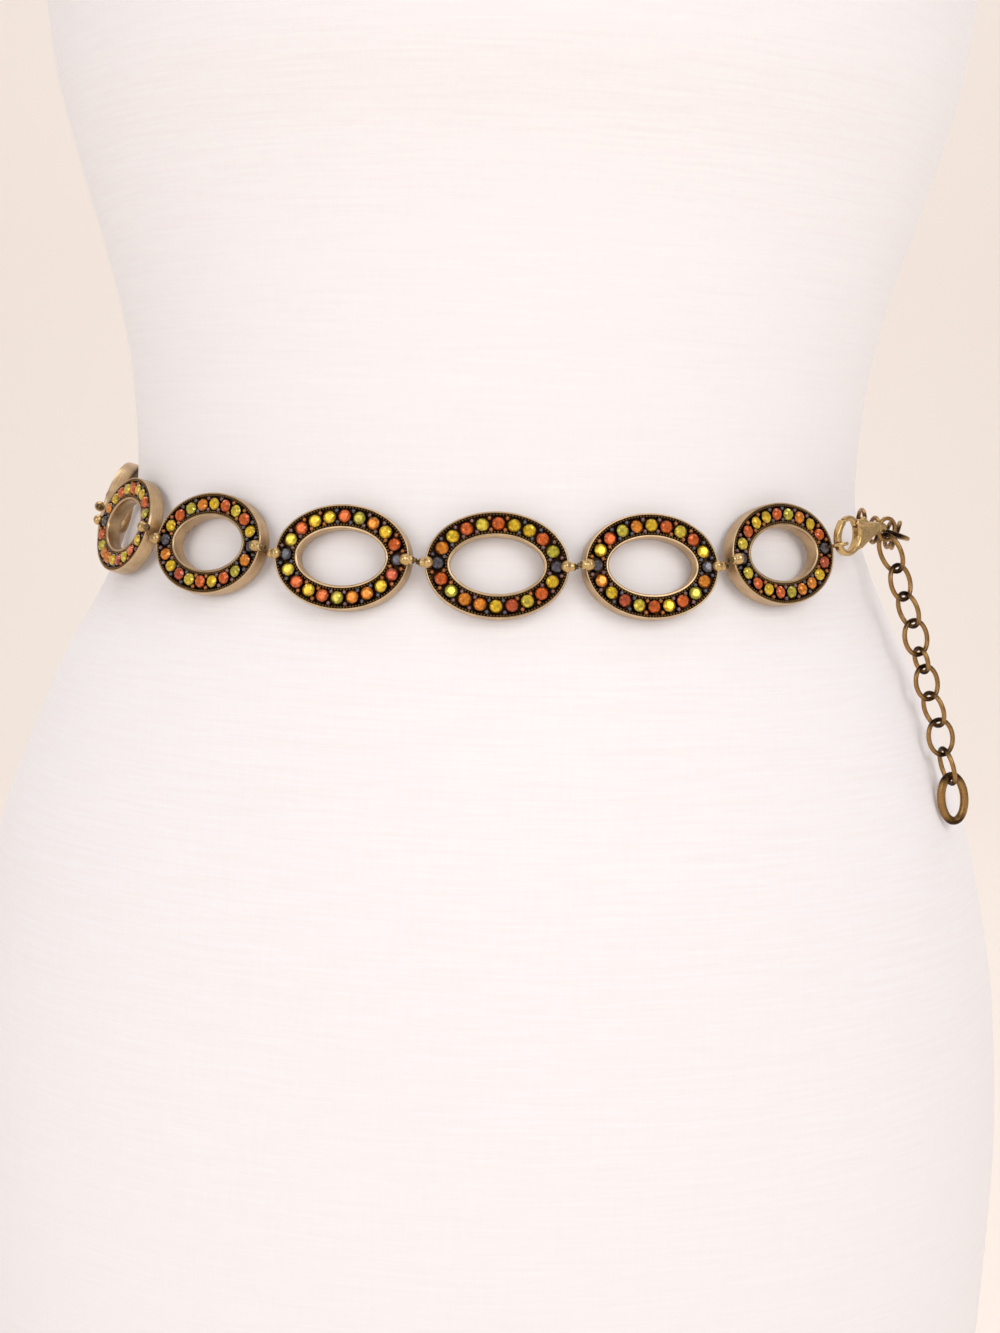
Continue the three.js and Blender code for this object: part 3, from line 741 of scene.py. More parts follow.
def wire_recipe() -> Recipe:
    """Builds the tree that bends round wire into one oval link at each point of the base.

    Returns:
        A recipe that also stores how near each point is to the link's ends, as painted shade in its patina
        attribute.
    """
    recipe = Recipe("round wire links", {
        "Half length": ("NodeSocketFloat", 5.6 * MM),
        "Half width": ("NodeSocketFloat", LINK_HALF_WIDTH),
        "Wire": ("NodeSocketFloat", WIRE_RADIUS),
        "Steps": ("NodeSocketInt", 48),
        "Sides": ("NodeSocketInt", 12),
        # Painted shade: the wire darkens from this share of the half length out to the link's ends, by up to
        # the end value.
        "Dark from": ("NodeSocketFloat", 0.62),
        "End patina": ("NodeSocketFloat", 0.85),
        "Material": ("NodeSocketMaterial", None),
    })
    long = recipe.input("Half length")
    circle = recipe.node(
        "GeometryNodeCurvePrimitiveCircle", {"Resolution": recipe.input("Steps"), "Radius": 1.0})
    size = recipe.node("ShaderNodeCombineXYZ", {0: long, 1: recipe.input("Half width"), 2: 1.0})
    oval = recipe.node("GeometryNodeTransform", {0: circle.outputs[0], "Scale": size.outputs[0]})
    section = recipe.node(
        "GeometryNodeCurvePrimitiveCircle",
        {"Resolution": recipe.input("Sides"), "Radius": recipe.input("Wire")})
    wire = recipe.node(
        "GeometryNodeCurveToMesh", {"Curve": oval.outputs[0], "Profile Curve": section.outputs[0]})
    smooth = recipe.node("GeometryNodeSetShadeSmooth", {0: wire.outputs[0]})
    place = recipe.node("GeometryNodeInputPosition")
    along = recipe.node("ShaderNodeSeparateXYZ", {0: place.outputs[0]})
    way_out = recipe.node("ShaderNodeMath", {0: along.outputs[0]}, operation="ABSOLUTE")
    share = recipe.node("ShaderNodeMath", {0: way_out.outputs[0], 1: long}, operation="DIVIDE")
    # Painted shade towards the ends, where the link hooks into the next one, stored in the patina attribute.
    dark = recipe.node("ShaderNodeMapRange", {
        "Value": share.outputs[0], FROM_LOW: recipe.input("Dark from"), FROM_HIGH: 1.0,
        TO_LOW: 0.0, TO_HIGH: recipe.input("End patina")})
    stained = recipe.node(
        "GeometryNodeStoreNamedAttribute",
        {"Geometry": smooth.outputs[0], "Name": "patina", "Value": dark.outputs[0]},
        data_type="FLOAT", domain="POINT")
    recipe.finish(recipe.on_places(stained.outputs[0]))
    return recipe


def place_points(name: str, places: Sequence[Place]) -> bpy.types.Mesh:
    """Makes a base mesh for a recipe.

    Args:
        name: The mesh's name.
        places: Where the recipe's pieces go.

    Returns:
        A mesh with one loose point for each place, which carries the place's turn.
    """
    mesh = mesh_from(name, [place.centre for place in places], [], smooth=False)
    turns = mesh.attributes.new("turn", "QUATERNION", "POINT")
    for item, place in zip(turns.data, places):
        item.value = place.turn()
    return mesh


def float_attribute(mesh: bpy.types.Mesh, name: str, values: np.ndarray) -> None:
    """Stores one number for each point of a mesh."""
    attribute = mesh.attributes.new(name, "FLOAT", "POINT")
    attribute.data.foreach_set("value", np.asarray(values, dtype=np.float32))


def grid_faces(rows: int, columns: int, rows_close: bool) -> list[tuple[int, ...]]:
    """Joins rows of points, each of which closes on itself.

    Args:
        rows: How many rows there are.
        columns: How many points a row has.
        rows_close: Whether the last row joins the first.

    Returns:
        Four point numbers for each face.
    """
    count = rows if rows_close else rows - 1
    return [
        (r * columns + c, r * columns + (c + 1) % columns,
         (r + 1) % rows * columns + (c + 1) % columns, (r + 1) % rows * columns + c)
        for r in range(count) for c in range(columns)]


def tube_faces(rows: int, columns: int) -> list[tuple[int, ...]]:
    """Joins rows of points into a tube and closes both ends.

    Args:
        rows: How many rows there are.
        columns: How many points a row has.

    Returns:
        Point numbers for each face, with the two flat ends last.
    """
    first = tuple(range(columns - 1, -1, -1))
    last = tuple((rows - 1) * columns + i for i in range(columns))
    return [*grid_faces(rows, columns, False), first, last]


@dataclass
class DressForm:
    """The limbless form: its jersey cover, turned base and neck cap."""

    sides: int = 144
    rows: int = 210
    level_digits: int = 5
    level_slack: float = 0.02 * MM
    crease: float = math.radians(35)
    base_edge: float = 3 * MM
    cap_edge: float = 2 * MM
    rim_steps: int = 7
    bust_height: float = 548 * MM
    bust_apart: float = 71 * MM
    bust_rise: float = 11 * MM
    bust_reach: float = 50 * MM
    bust_depth: float = 80 * MM
    bust_fullness: float = 1.25
    bust_slope: float = 0.8

    def build(self) -> None:
        """Makes the three pieces."""
        self.cover()
        self.turned("form_base_turned", "form_base", self.base_edge)
        self.turned("form_neck_cap_turned", "form_neck_cap", self.cap_edge)

    def sections(self, node: str) -> np.ndarray:
        """Reads a node's level rings.

        Args:
            node: The frame node's name.

        Returns:
            A row for each ring, from the bottom up: height, half width, half depth and middle.
        """
        points = node_points(node)
        rows = []
        for height in np.unique(points[:, 2].round(self.level_digits)):
            ring = points[np.abs(points[:, 2] - height) < self.level_slack]
            front, rear = ring[:, 1].min(), ring[:, 1].max()
            rows.append((height, ring[:, 0].max(), (rear - front) / 2, (rear + front) / 2))
        return np.array(rows)

    @staticmethod
    def eased(rows: np.ndarray, heights: np.ndarray) -> np.ndarray:
        """Runs a smooth curve through the rings without going past them.

        Args:
            rows: The rings, as sections gives them.
            heights: The heights at which new rings are wanted.

        Returns:
            A row for each new ring.
        """
        z = rows[:, 0]
        at = np.clip(np.searchsorted(z, heights) - 1, 0, len(z) - 2)
        run = z[at + 1] - z[at]
        t = (heights - z[at]) / run
        out = [heights]
        for column in rows[:, 1:].T:
            step = np.diff(column) / np.diff(z)
            same = step[1:] * step[:-1] > 0
            slope = np.zeros_like(column)
            slope[1:-1] = np.where(
                same, 2 * step[1:] * step[:-1] / np.where(same, step[1:] + step[:-1], 1), 0)
            slope[0], slope[-1] = step[0], step[-1]
            out.append(
                (2 * t ** 3 - 3 * t ** 2 + 1) * column[at] + (t ** 3 - 2 * t ** 2 + t) * run * slope[at]
                + (3 * t ** 2 - 2 * t ** 3) * column[at + 1] + (t ** 3 - t ** 2) * run * slope[at + 1])
        return np.array(out).T

    def stack(self, name: str, rows: np.ndarray) -> bpy.types.Mesh:
        """Skins level ellipses from the bottom up and closes both ends.

        Args:
            name: The mesh's name.
            rows: The rings, as sections gives them.

        Returns:
            The closed mesh.
        """
        angle = np.linspace(0, 2 * np.pi, self.sides, endpoint=False)
        rings = [
            np.stack([half * np.cos(angle), back + deep * np.sin(angle), np.full_like(angle, z)], 1)
            for z, half, deep, back in rows]
        return mesh_from(name, np.concatenate(rings), tube_faces(len(rows), self.sides))

    def bust(self, points: np.ndarray) -> np.ndarray:
        """Works out how far each point stands out for the bust.

        Args:
            points: The cover's points, one row each.

        Returns:
            A length in metres for each point: full below, sloping above, none behind.
        """
        front = np.clip(-points[:, 1] / self.bust_depth, 0, 1)
        rise = np.zeros(len(points))
        for side in (-1, 1):
            dx = (points[:, 0] - side * self.bust_apart) / self.bust_reach
            dz = (points[:, 2] - self.bust_height) / self.bust_reach
            dz = np.where(dz < 0, dz * self.bust_fullness, dz * self.bust_slope)
            rise += np.exp(-(dx ** 2 + dz ** 2))
        return self.bust_rise * rise * front

    def cover(self) -> None:
        """Makes the jersey cover, smooth where the frame's solid is faceted."""
        rows = self.sections("form_body")
        heights = np.linspace(rows[0, 0], rows[-1, 0], self.rows)
        mesh = self.stack("form_jersey", self.eased(rows, heights))
        points = read_points(mesh)
        points[:, 1] -= self.bust(points)
        move_points(mesh, points)
        piece = dressed("form_jersey", mesh, JERSEY)
        self.crisp(mesh)
        set_off(piece, "belt", ["form_body"])

    def turned(self, name: str, node: str, edge: float) -> None:
        """Makes a turned wooden piece with eased edges from a node's rings.

        Args:
            name: The piece's name.
            node: The node that it replaces.
            edge: Radius of its upper edge.
        """
        rows = self.sections(node)
        bottom, top = rows[0], rows[-1]
        below = rows[-2] if len(rows) > 2 else bottom
        foot = [(bottom[0], bottom[1] - edge / 2, bottom[2] - edge / 2, bottom[3]),
                (bottom[0] + edge / 2, *bottom[1:])]
        narrower = [below[i] - min(top[i], below[i] - edge) for i in (1, 2)]
        rim = []
        for turn in np.linspace(0, math.pi / 2, self.rim_steps):
            inward = 1 - math.cos(turn)
            rim.append((
                top[0] - edge * (1 - math.sin(turn)), below[1] - inward * narrower[0],
                below[2] - inward * narrower[1], top[3]))
        mesh = self.stack(name, np.array(foot + rim))
        piece = dressed(name, mesh, BEECH)
        self.crisp(mesh)
        set_off(piece, "belt", [node])

    def crisp(self, mesh: bpy.types.Mesh) -> None:
        """Keeps the edges round the flat ends sharp.

        Args:
            mesh: A closed stack, whose ends are its only faces with more than four corners.
        """
        for polygon in mesh.polygons:
            polygon.use_smooth = len(polygon.vertices) == 4
        mesh.set_sharp_from_angle(angle=self.crease)


class Stone(Enum):
    """Glass colours of the stones, as sRGB hex values."""

    YELLOW = "EBC01C"
    LEMON = "E0C63A"
    CITRINE = "C2B436"
    ORANGE = "E88A18"
    FLAME = "DC6418"
    ROSE = "C2542C"
    SMOKE = "55525A"
    MAUVE = "7C5A5A"
    AMBER = "A8642A"


@dataclass
class OvalLinks:
    """The fourteen oval links: bands, set stones, milgrain and the glass beads in the gaps.

    The pattern names an oval's stones in order round it, from one end of its long axis.
    """

    half_length: float = OVAL_HALF_LENGTH
    half_height: float = OVAL_HALF_HEIGHT
    crown: float = 0.35 * MM
    stations: int = 96
    fine_steps: int = 4000
    map_shift: float = 0.37
    stones_round: int = 20
    stone_radius: float = 1.88 * MM
    stone_height: float = -0.12 * MM
    end_share: float = 0.92
    lean: float = math.radians(9)
    # Painted shade: how much each stone's colour is darkened towards its girdle.
    rim_painted_shade: float = 0.55
    milgrain_radius: float = 0.36 * MM
    milgrain_height: float = -0.22 * MM
    milgrain_patina: float = 0.42
    gap_radius: float = 0.68 * MM
    gap_height: float = -0.36 * MM
    pattern: str = (
        "SMOKE YELLOW FLAME LEMON FLAME YELLOW ORANGE CITRINE FLAME YELLOW "
        "SMOKE ORANGE YELLOW ROSE LEMON FLAME YELLOW FLAME CITRINE ORANGE")
    pattern_shift: int = 3
    places: list[Place] = field(default_factory=list)

    def build(self, ring: Recipe) -> None:
        """Makes every part of the ovals.

        Args:
            ring: Recipe that sets pieces round the ovals.
        """
        self.places = [self.place(node) for node in self.nodes("stones")]
        self.bands()
        self.stones(ring)
        self.milgrain(ring)
        self.fillers(ring)

    @staticmethod
    def nodes(kind: str) -> list[str]:
        """Returns the names of the ovals' nodes of one kind: frame or stones."""
        return [f"oval_{number:02d}_{kind}" for number in range(1, OVALS + 1)]

    def place(self, node: str) -> Place:
        """Finds one oval's face middle and axes from its bed of stones.

        Args:
            node: The bed's node.

        Returns:
            A place level with the band's rims.
        """
        found = Place.of_node(node)
        low, high = zip(*found.spread(node))
        middle = [(a + b) / 2 for a, b in zip(low, high)]
        face = high[2] - self.crown
        found.centre = found.centre + found.run * middle[0] + found.up * middle[1] + found.out * face
        return found

    def middle_line(self) -> tuple[np.ndarray, np.ndarray, np.ndarray]:
        """Spaces stations evenly round the band's middle.

        Returns:
            The stations' points, their outward ways, and their lengths along the line.
        """
        half = np.array([self.half_length, self.half_height])
        angle = np.linspace(0, 2 * np.pi, self.fine_steps + 1)
        fine = np.stack([np.cos(angle), np.sin(angle)], 1) * half
        length = np.concatenate([[0], np.cumsum(np.linalg.norm(np.diff(fine, axis=0), axis=1))])
        even = np.linspace(0, length[-1], self.stations, endpoint=False)
        turn = np.interp(even, length, angle)
        circle = np.stack([np.cos(turn), np.sin(turn)], 1)
        ways = circle / half
        return circle * half, ways / np.linalg.norm(ways, axis=1, keepdims=True), even

    @staticmethod
    def profile() -> np.ndarray:
        """Draws the band's section: two lips round a channel, on one rounded bar.

        Returns:
            A row for each point: across and height in millimetres, and patina.
        """
        outer_lip = [
            (1.6, -1.5, 1.0), (2.6, -1.42, 1.0), (2.9, -1.2, 0.95), (2.98, -0.5, 0.8),
            (3.02, -0.14, 0.35), (3.1, -0.03, 0.0), (3.22, 0.0, 0.0), (3.36, -0.03, 0.0),
            (3.46, -0.12, 0.02)]
        wall = [
            (3.53, -0.34, 0.05), (3.57, -0.9, 0.08), (3.6, -2.3, 0.1), (3.57, -3.8, 0.14),
            (3.5, -4.3, 0.2), (3.3, -4.55, 0.3), (2.9, -4.6, 0.35), (1.4, -4.6, 0.35)]
        inner_lip = [
            (3.42, -0.12, 0.0), (3.2, -0.02, 0.0), (2.98, 0.0, 0.0), (2.84, -0.03, 0.0),
            (2.74, -0.14, 0.35), (2.7, -0.5, 0.8), (2.62, -1.2, 0.95), (2.35, -1.42, 1.0),
            (1.6, -1.5, 1.0)]
        outer = [(0.0, -1.5, 1.0), *outer_lip, *wall, (0.0, -4.6, 0.35)]
        inner = [(-across, height, patina) for across, height, patina in wall[::-1] + inner_lip]
        return np.array(outer + inner)

    def bands(self) -> None:
        """Sweeps the channelled band round each oval, with a map that runs along it."""
        section = self.profile()
        across, height = section[:, 0] * MM, section[:, 1] * MM
        middle, ways, run = self.middle_line()
        local = np.concatenate([
            np.stack([x + way_x * across, y + way_y * across, height], 1)
            for (x, y), (way_x, way_y) in zip(middle, ways)])
        faces = grid_faces(self.stations, len(section), True)
        points = np.concatenate([place.world(local) for place in self.places])
        quads = [
            tuple(i + number * len(local) for i in face) for number in range(OVALS) for face in faces]
        mesh = mesh_from("oval_bands", points, quads)
        float_attribute(mesh, "patina", np.tile(section[:, 2], self.stations * OVALS))
        self.map_run(mesh, faces, run[1], np.stack([across, height], 1))
        piece = dressed("oval_bands", mesh, BAND_GOLD)
        set_off(piece, "belt", self.nodes("frame"))

    def map_run(
        self, mesh: bpy.types.Mesh, faces: Sequence[Sequence[int]], step: float, section: np.ndarray,
    ) -> None:
        """Gives the bands a UV map in metres: along the band, then round its section.

        Args:
            mesh: All the bands.
            faces: The faces of one band.
            step: Length from one station to the next.
            section: The section's points, one row each, in metres.
        """
        side = np.linalg.norm(np.diff(section, axis=0, append=section[:1]), axis=1)
        depth = np.concatenate([[0], np.cumsum(side)])
        corners = [(0, 0), (0, 1), (1, 1), (1, 0)]
        rows = []
        for face in faces:
            row, column = divmod(face[0], len(section))
            rows.extend((step * (row + a), depth[column + b]) for a, b in corners)
        tiled = np.tile(np.array(rows), (OVALS, 1))
        tiled[:, 0] += np.repeat(np.arange(OVALS) * self.map_shift, len(rows))
        layer = mesh.uv_layers.new(name="run")
        layer.data.foreach_set("uv", tiled.ravel().astype(np.float32))

    def set_round(
        self, ring: Recipe, name: str, piece: bpy.types.Object, finish: Finish, radius: float,
        **values: Any,
    ) -> bpy.types.Object:
        """Sets a piece of unit radius round all the ovals.

        Args:
            ring: Recipe that sets pieces round the ovals.
            name: Name of the object that comes out.
            piece: The small piece.
            finish: Its finish.
            radius: Its radius in metres.
            values: Other inputs of the recipe.

        Returns:
            All the set pieces as one object.
        """
        inputs = {"Size": radius, "End_size": radius, **values}
        return ring.run(
            name, place_points("oval_places", self.places), Piece=piece, Half_length=self.half_length,
            Half_height=self.half_height, Material=finish.material(), **inputs)

    @staticmethod
    def cut_stone() -> bpy.types.Object:
        """Makes one round stone of unit radius: a table, three rows of facets and a low back.

        Returns:
            An object that only feeds a recipe.
        """
        rings = [(8, 0.0, 0.56, 0.42), (8, 0.5, 0.82, 0.26), (16, 0.0, 1.0, 0.0)]
        points: list[tuple[float, float, float]] = []
        for count, shift, radius, z in rings:
            for i in range(count):
                turn = 2 * math.pi * (i + shift) / count
                points.append((radius * math.cos(turn), radius * math.sin(turn), z))
        points.append((0.0, 0.0, -0.45))
        table, crown, girdle, tip = 0, 8, 16, 32
        faces: list[tuple[int, ...]] = [tuple(range(table, crown))]
        for i in range(8):
            after, before = (i + 1) % 8, (i - 1) % 8
            faces.append((table + i, crown + i, table + after))
            faces.append((table + i, crown + before, girdle + 2 * i, crown + i))
            faces.append((crown + i, girdle + 2 * i, girdle + 2 * i + 1))
            faces.append((crown + i, girdle + 2 * i + 1, girdle + (2 * i + 2) % 16))
        faces.extend((girdle + i, tip, girdle + (i + 1) % 16) for i in range(16))
        mesh = mesh_from("cut_stone", points, faces, smooth=False)
        # The rim value sets how much painted shade each point of a stone gets.
        float_attribute(mesh, "rim", np.array([0.0] * 8 + [0.35] * 8 + [1.0] * 17))
        return new_object("cut_stone", mesh)

    def stones(self, ring: Recipe) -> None:
        """Sets twenty stones in each channel and colours them one by one.

        Args:
            ring: Recipe that sets pieces round the ovals.
        """
        stone = self.cut_stone()
        piece = self.set_round(
            ring, "set_stones", stone, STONE_GLASS, self.stone_radius, Count=self.stones_round,
            Height=self.stone_height, End_size=self.stone_radius * self.end_share,
            Least_turn=(-self.lean, -self.lean, 0.0), Most_turn=(self.lean, self.lean, 2 * math.pi))
        bpy.data.objects.remove(stone)
        self.colour(piece.data)
        set_off(piece, "belt", self.nodes("stones"))

    def colour(self, mesh: bpy.types.Mesh) -> None:
        """Gives every point of the stones the colour of its place in the pattern, with painted shade
        darkening it towards the girdle.

        The two end stones keep theirs, and the rest move on a few places from oval to oval.

        Args:
            mesh: All the set stones.
        """
        stone_no, oval_no = self.numbers(mesh, "stone_no"), self.numbers(mesh, "oval_no")
        half = self.stones_round // 2
        step = stone_no % half
        moved = stone_no // half * half + 1 + (step - 1 + self.pattern_shift * oval_no) % (half - 1)
        palette = np.array([linear(Stone[word].value) for word in self.pattern.split()])
        colours = palette[np.where(step == 0, stone_no, moved)]
        rim = np.zeros(len(mesh.vertices), np.float32)
        mesh.attributes["rim"].data.foreach_get("value", rim)
        # Painted shade: each stone's colour darkens towards its girdle and back.
        colours[:, :3] *= (1 - self.rim_painted_shade * rim)[:, None]
        self.paint(mesh, colours)

    @staticmethod
    def numbers(mesh: bpy.types.Mesh, name: str) -> np.ndarray:
        """Reads a whole number of each point of a mesh.

        Args:
            mesh: The mesh.
            name: The attribute's name.

        Returns:
            One whole number for each point.
        """
        values = np.zeros(len(mesh.vertices), np.int32)
        mesh.attributes[name].data.foreach_get("value", values)
        return values

    @staticmethod
    def paint(mesh: bpy.types.Mesh, colours: np.ndarray) -> None:
        """Stores a linear colour for each point."""
        attribute = mesh.attributes.new("stone_colour", "FLOAT_COLOR", "POINT")
        attribute.data.foreach_set("color", colours.astype(np.float32).ravel())

    @staticmethod
    def small_ball(segments: int, rows: int) -> bpy.types.Object:
        """Makes a ball of unit radius with few faces.

        Args:
            segments: Points in each level ring.
            rows: Bands of faces from pole to pole.

        Returns:
            An object that only feeds a recipe.
        """
        points = [(0.0, 0.0, 1.0)]
        for r in range(1, rows):
            tilt = math.pi * r / rows
            for i in range(segments):
                turn = 2 * math.pi * i / segments
                points.append((
                    math.sin(tilt) * math.cos(turn), math.sin(tilt) * math.sin(turn), math.cos(tilt)))
        points.append((0.0, 0.0, -1.0))
        last = len(points) - 1
        faces: list[tuple[int, ...]] = [(0, 1 + i, 1 + (i + 1) % segments) for i in range(segments)]
        for r in range(rows - 2):
            a = 1 + r * segments
            for i in range(segments):
                j = (i + 1) % segments
                faces.append((a + i, a + segments + i, a + segments + j, a + j))
        a = last - segments
        faces.extend((a + i, last, a + (i + 1) % segments) for i in range(segments))
        return new_object("small_ball", mesh_from("small_ball", points, faces))

    def milgrain(self, ring: Recipe) -> None:
        """Lines both edges of the channel with tiny beads.

        Args:
            ring: Recipe that sets pieces round the ovals.
        """
        ball = self.small_ball(6, 4)
        for name, outward, count in (("outer", 2.66 * MM, 118), ("inner", -2.34 * MM, 84)):
            piece = self.set_round(
                ring, f"milgrain_{name}", ball, CHAIN_BRONZE, self.milgrain_radius, Count=count,
                Outward=outward, Height=self.milgrain_height)
            patina = np.full(len(piece.data.vertices), self.milgrain_patina)
            float_attribute(piece.data, "patina", patina)
            set_off(piece, "belt", [])
        bpy.data.objects.remove(ball)

    def fillers(self, ring: Recipe) -> None:
        """Sets a small glass bead in each gap between two stones, near each edge.

        Args:
            ring: Recipe that sets pieces round the ovals.
        """
        ball = self.small_ball(8, 5)
        shades = np.array([linear(entry.value) for entry in (Stone.SMOKE, Stone.MAUVE, Stone.AMBER)])
        for name, outward in (("outer", 1.75 * MM), ("inner", -1.62 * MM)):
            piece = self.set_round(
                ring, f"gap_beads_{name}", ball, STONE_GLASS, self.gap_radius,
                Count=2 * self.stones_round, Every=2, First=1, Outward=outward,
                Height=self.gap_height)
            mixed = self.numbers(piece.data, "stone_no") // 2 + self.numbers(piece.data, "oval_no")
            self.paint(piece.data, shades[mixed * 2 % len(shades)])
            set_off(piece, "belt", [])
        bpy.data.objects.remove(ball)


@dataclass(frozen=True)
class Ball:
    """A ball on an oval's long axis: how far out, how high over the face, and its radius."""

    x: float
    z: float
    radius: float


@dataclass
class Joins:
    """What joins the ovals: two beads and a neck at each inner end, and a loop at both open ends.

    The beads' sizes are in millimetres from the oval's middle.
    """

    places: list[Place]
    big: Ball = Ball(19.45, 1.0, 1.68)
    small: Ball = Ball(21.08, 0.65, 1.3)
    neck: Ball = Ball(22.85, 0.5, 0.56)
    tip_radius: float = 0.12
    big_from_x: float = 17.84
    big_to_x: float = 20.3
    small_from_x: float = 20.4
    small_to_x: float = 22.3
    # Painted shade: points past this x, and in the narrow cleft between the beads, get the dark patina
    # value.
    neck_shade_from_x: float = 22.1
    shaded_cleft_radius: float = 1.12
    dark: float = 0.65
    bright: float = 0.04
    steps: int = 12
    sides: int = 20
    loop_x: float = 20.0 * MM
    loop_z: float = 2.55 * MM
    loop_radius: float = 2.6 * MM
    loop_wire: float = 0.5 * MM
    # Painted shade towards the loop's ends, where it hooks into the chain.
    loop_end_painted_shade: float = 0.2

    def build(self, ends: Recipe, wire: Recipe) -> None:
        """Makes the beads and the loops.

        Args:
            ends: Recipe that sets a piece on each place.
            wire: Recipe that bends round wire.
        """
        self.beads(ends)
        self.loops(wire)

    def bead_end(self) -> bpy.types.Object:
        """Makes the two beads and the short neck at one end of an oval, turned along X, with painted shade
        in the neck and in the cleft between the beads.

        Returns:
            An object that only feeds a recipe.
        """
        stations = np.concatenate([
            np.linspace(self.big_from_x, self.big_to_x, self.steps),
            np.linspace(self.small_from_x, self.small_to_x, self.steps), [self.neck.x]])
        line = (self.big, self.small, self.neck)
        points, patina = [], []
        for x in stations:
            least = self.neck.radius if x > self.small.x else self.tip_radius
            rounds = [
                math.sqrt(max(ball.radius ** 2 - (x - ball.x) ** 2, 0)) for ball in (self.big, self.small)]
            radius = max(least, *rounds)
            z = np.interp(x, [ball.x for ball in line], [ball.z for ball in line])
            # Painted shade: the neck and the narrow cleft between the two beads are darkened, standing in
            # for the shadow there.
            in_shaded_cleft = x > self.neck_shade_from_x or (radius < self.shaded_cleft_radius and x > self.big.x)
            for turn in np.linspace(0, 2 * math.pi, self.sides, endpoint=False):
                points.append((x * MM, radius * math.cos(turn) * MM, (z + radius * math.sin(turn)) * MM))
                patina.append(self.dark if in_shaded_cleft else self.bright)
        mesh = mesh_from("bead_end", points, tube_faces(len(stations), self.sides))
        float_attribute(mesh, "patina", np.array(patina))
        return new_object("bead_end", mesh)

    def beads(self, ends: Recipe) -> None:
        """Puts the beads on every end that joins another oval.

        Args:
            ends: Recipe that sets a piece on each place.
        """
        piece = self.bead_end()
        spots = []
        for number, place in enumerate(self.places):
            if number < OVALS - 1:
                spots.append(place)
            if number > 0:
                spots.append(Place(place.centre, -place.run, -place.up, place.out))
        made = ends.run(
            "joining_beads", place_points("bead_places", spots), Piece=piece,
            Material=BEAD_GOLD.material())
        bpy.data.objects.remove(piece)
        set_off(made, "belt", [])

    def loops(self, wire: Recipe) -> None:
        """Bends the small wire loop on each open end of the row of ovals.

        Args:
            wire: Recipe that bends round wire.
        """
        spots = []
        for place, way in ((self.places[0], -1), (self.places[-1], 1)):
            centre = place.centre + place.run * (way * self.loop_x) + place.out * self.loop_z
            spots.append(Place(centre, place.run, place.out, -place.up))
        made = wire.run(
            "end_loops", place_points("loop_places", spots), Half_length=self.loop_radius,
            Half_width=self.loop_radius, Wire=self.loop_wire, Steps=40, Sides=10,
            End_patina=self.loop_end_painted_shade, Material=BEAD_GOLD.material())
        set_off(made, "belt", [])


@dataclass
class WireChain:
    """The back chain, the clasp's split ring, and the hanging tail with its end ring."""

    wire: float = WIRE_RADIUS
    half_width: float = LINK_HALF_WIDTH
    small_half_width: float = 2.9 * MM
    small_link: int = 5
    ring_wire: float = 0.65 * MM
    end_wire: float = 1.35 * MM
    end_half_width: float = 4.0 * MM
    steps: int = 56
    # Painted shade at the wire's ends, where rings and links hook into each other.
    ring_end_painted_shade: float = 0.15
    link_end_painted_shade: float = 0.85
    hexagon: float = math.cos(math.radians(30))

    def build(self, wire: Recipe) -> None:
        """Makes each link of both chains and the rings.

        Args:
            wire: Recipe that bends round wire.
        """
        nodes = [f"back_link_{number}" for number in range(1, BACK_LINKS + 1)]
        back = [self.link(node, self.wire) for node in nodes]
        made = wire.run(
            "back_chain", place_points("back_places", [place for place, _ in back]),
            Half_length=sum(half for _, half in back) / len(back), Half_width=self.half_width,
            Wire=self.wire, Material=CHAIN_BRONZE.material())
        set_off(made, "belt", nodes)
        for number in range(1, TAIL_LINKS + 1):
            width = self.small_half_width if number == self.small_link else self.half_width
            self.one(wire, f"tail_link_{number}", f"tail_{number}", width, self.wire)
        self.one(wire, "tail_end_ring", "end_ring", self.end_half_width, self.end_wire)
        self.one(wire, "clasp_ring", "belt", 0.0, self.ring_wire)

    def link(self, node: str, thick: float) -> tuple[Place, float]:
        """Finds how one link lies and how long it is.

        Args:
            node: The link's frame node, whose wire is six-sided.
            thick: Radius of the wire.

        Returns:
            The link's place and the half length of its wire's middle line.
        """
        place = Place.of_node(node)
        low, high = place.spread(node)[0]
        place.centre = place.centre + place.run * ((low + high) / 2)
        return place, (high - low) / 2 - thick * self.hexagon

    def one(self, wire: Recipe, node: str, body: str, width: float, thick: float) -> None:
        """Bends the wire for one node and rides it on its body.

        Args:
            wire: Recipe that bends round wire.
            node: The frame's node that it replaces.
            body: The body that it rides on.
            width: Half the width between the wire's middles, or 0 for a round ring.
            thick: Radius of the wire.
        """
        place, half = self.link(node, thick)
        made = wire.run(
            f"{node}_wire", place_points(f"{node}_place", [place]), Half_length=half,
            Half_width=width or half, Wire=thick, Steps=self.steps,
            End_patina=self.link_end_painted_shade if width else self.ring_end_painted_shade,
            Material=CHAIN_BRONZE.material())
        set_off(made, body, [node])


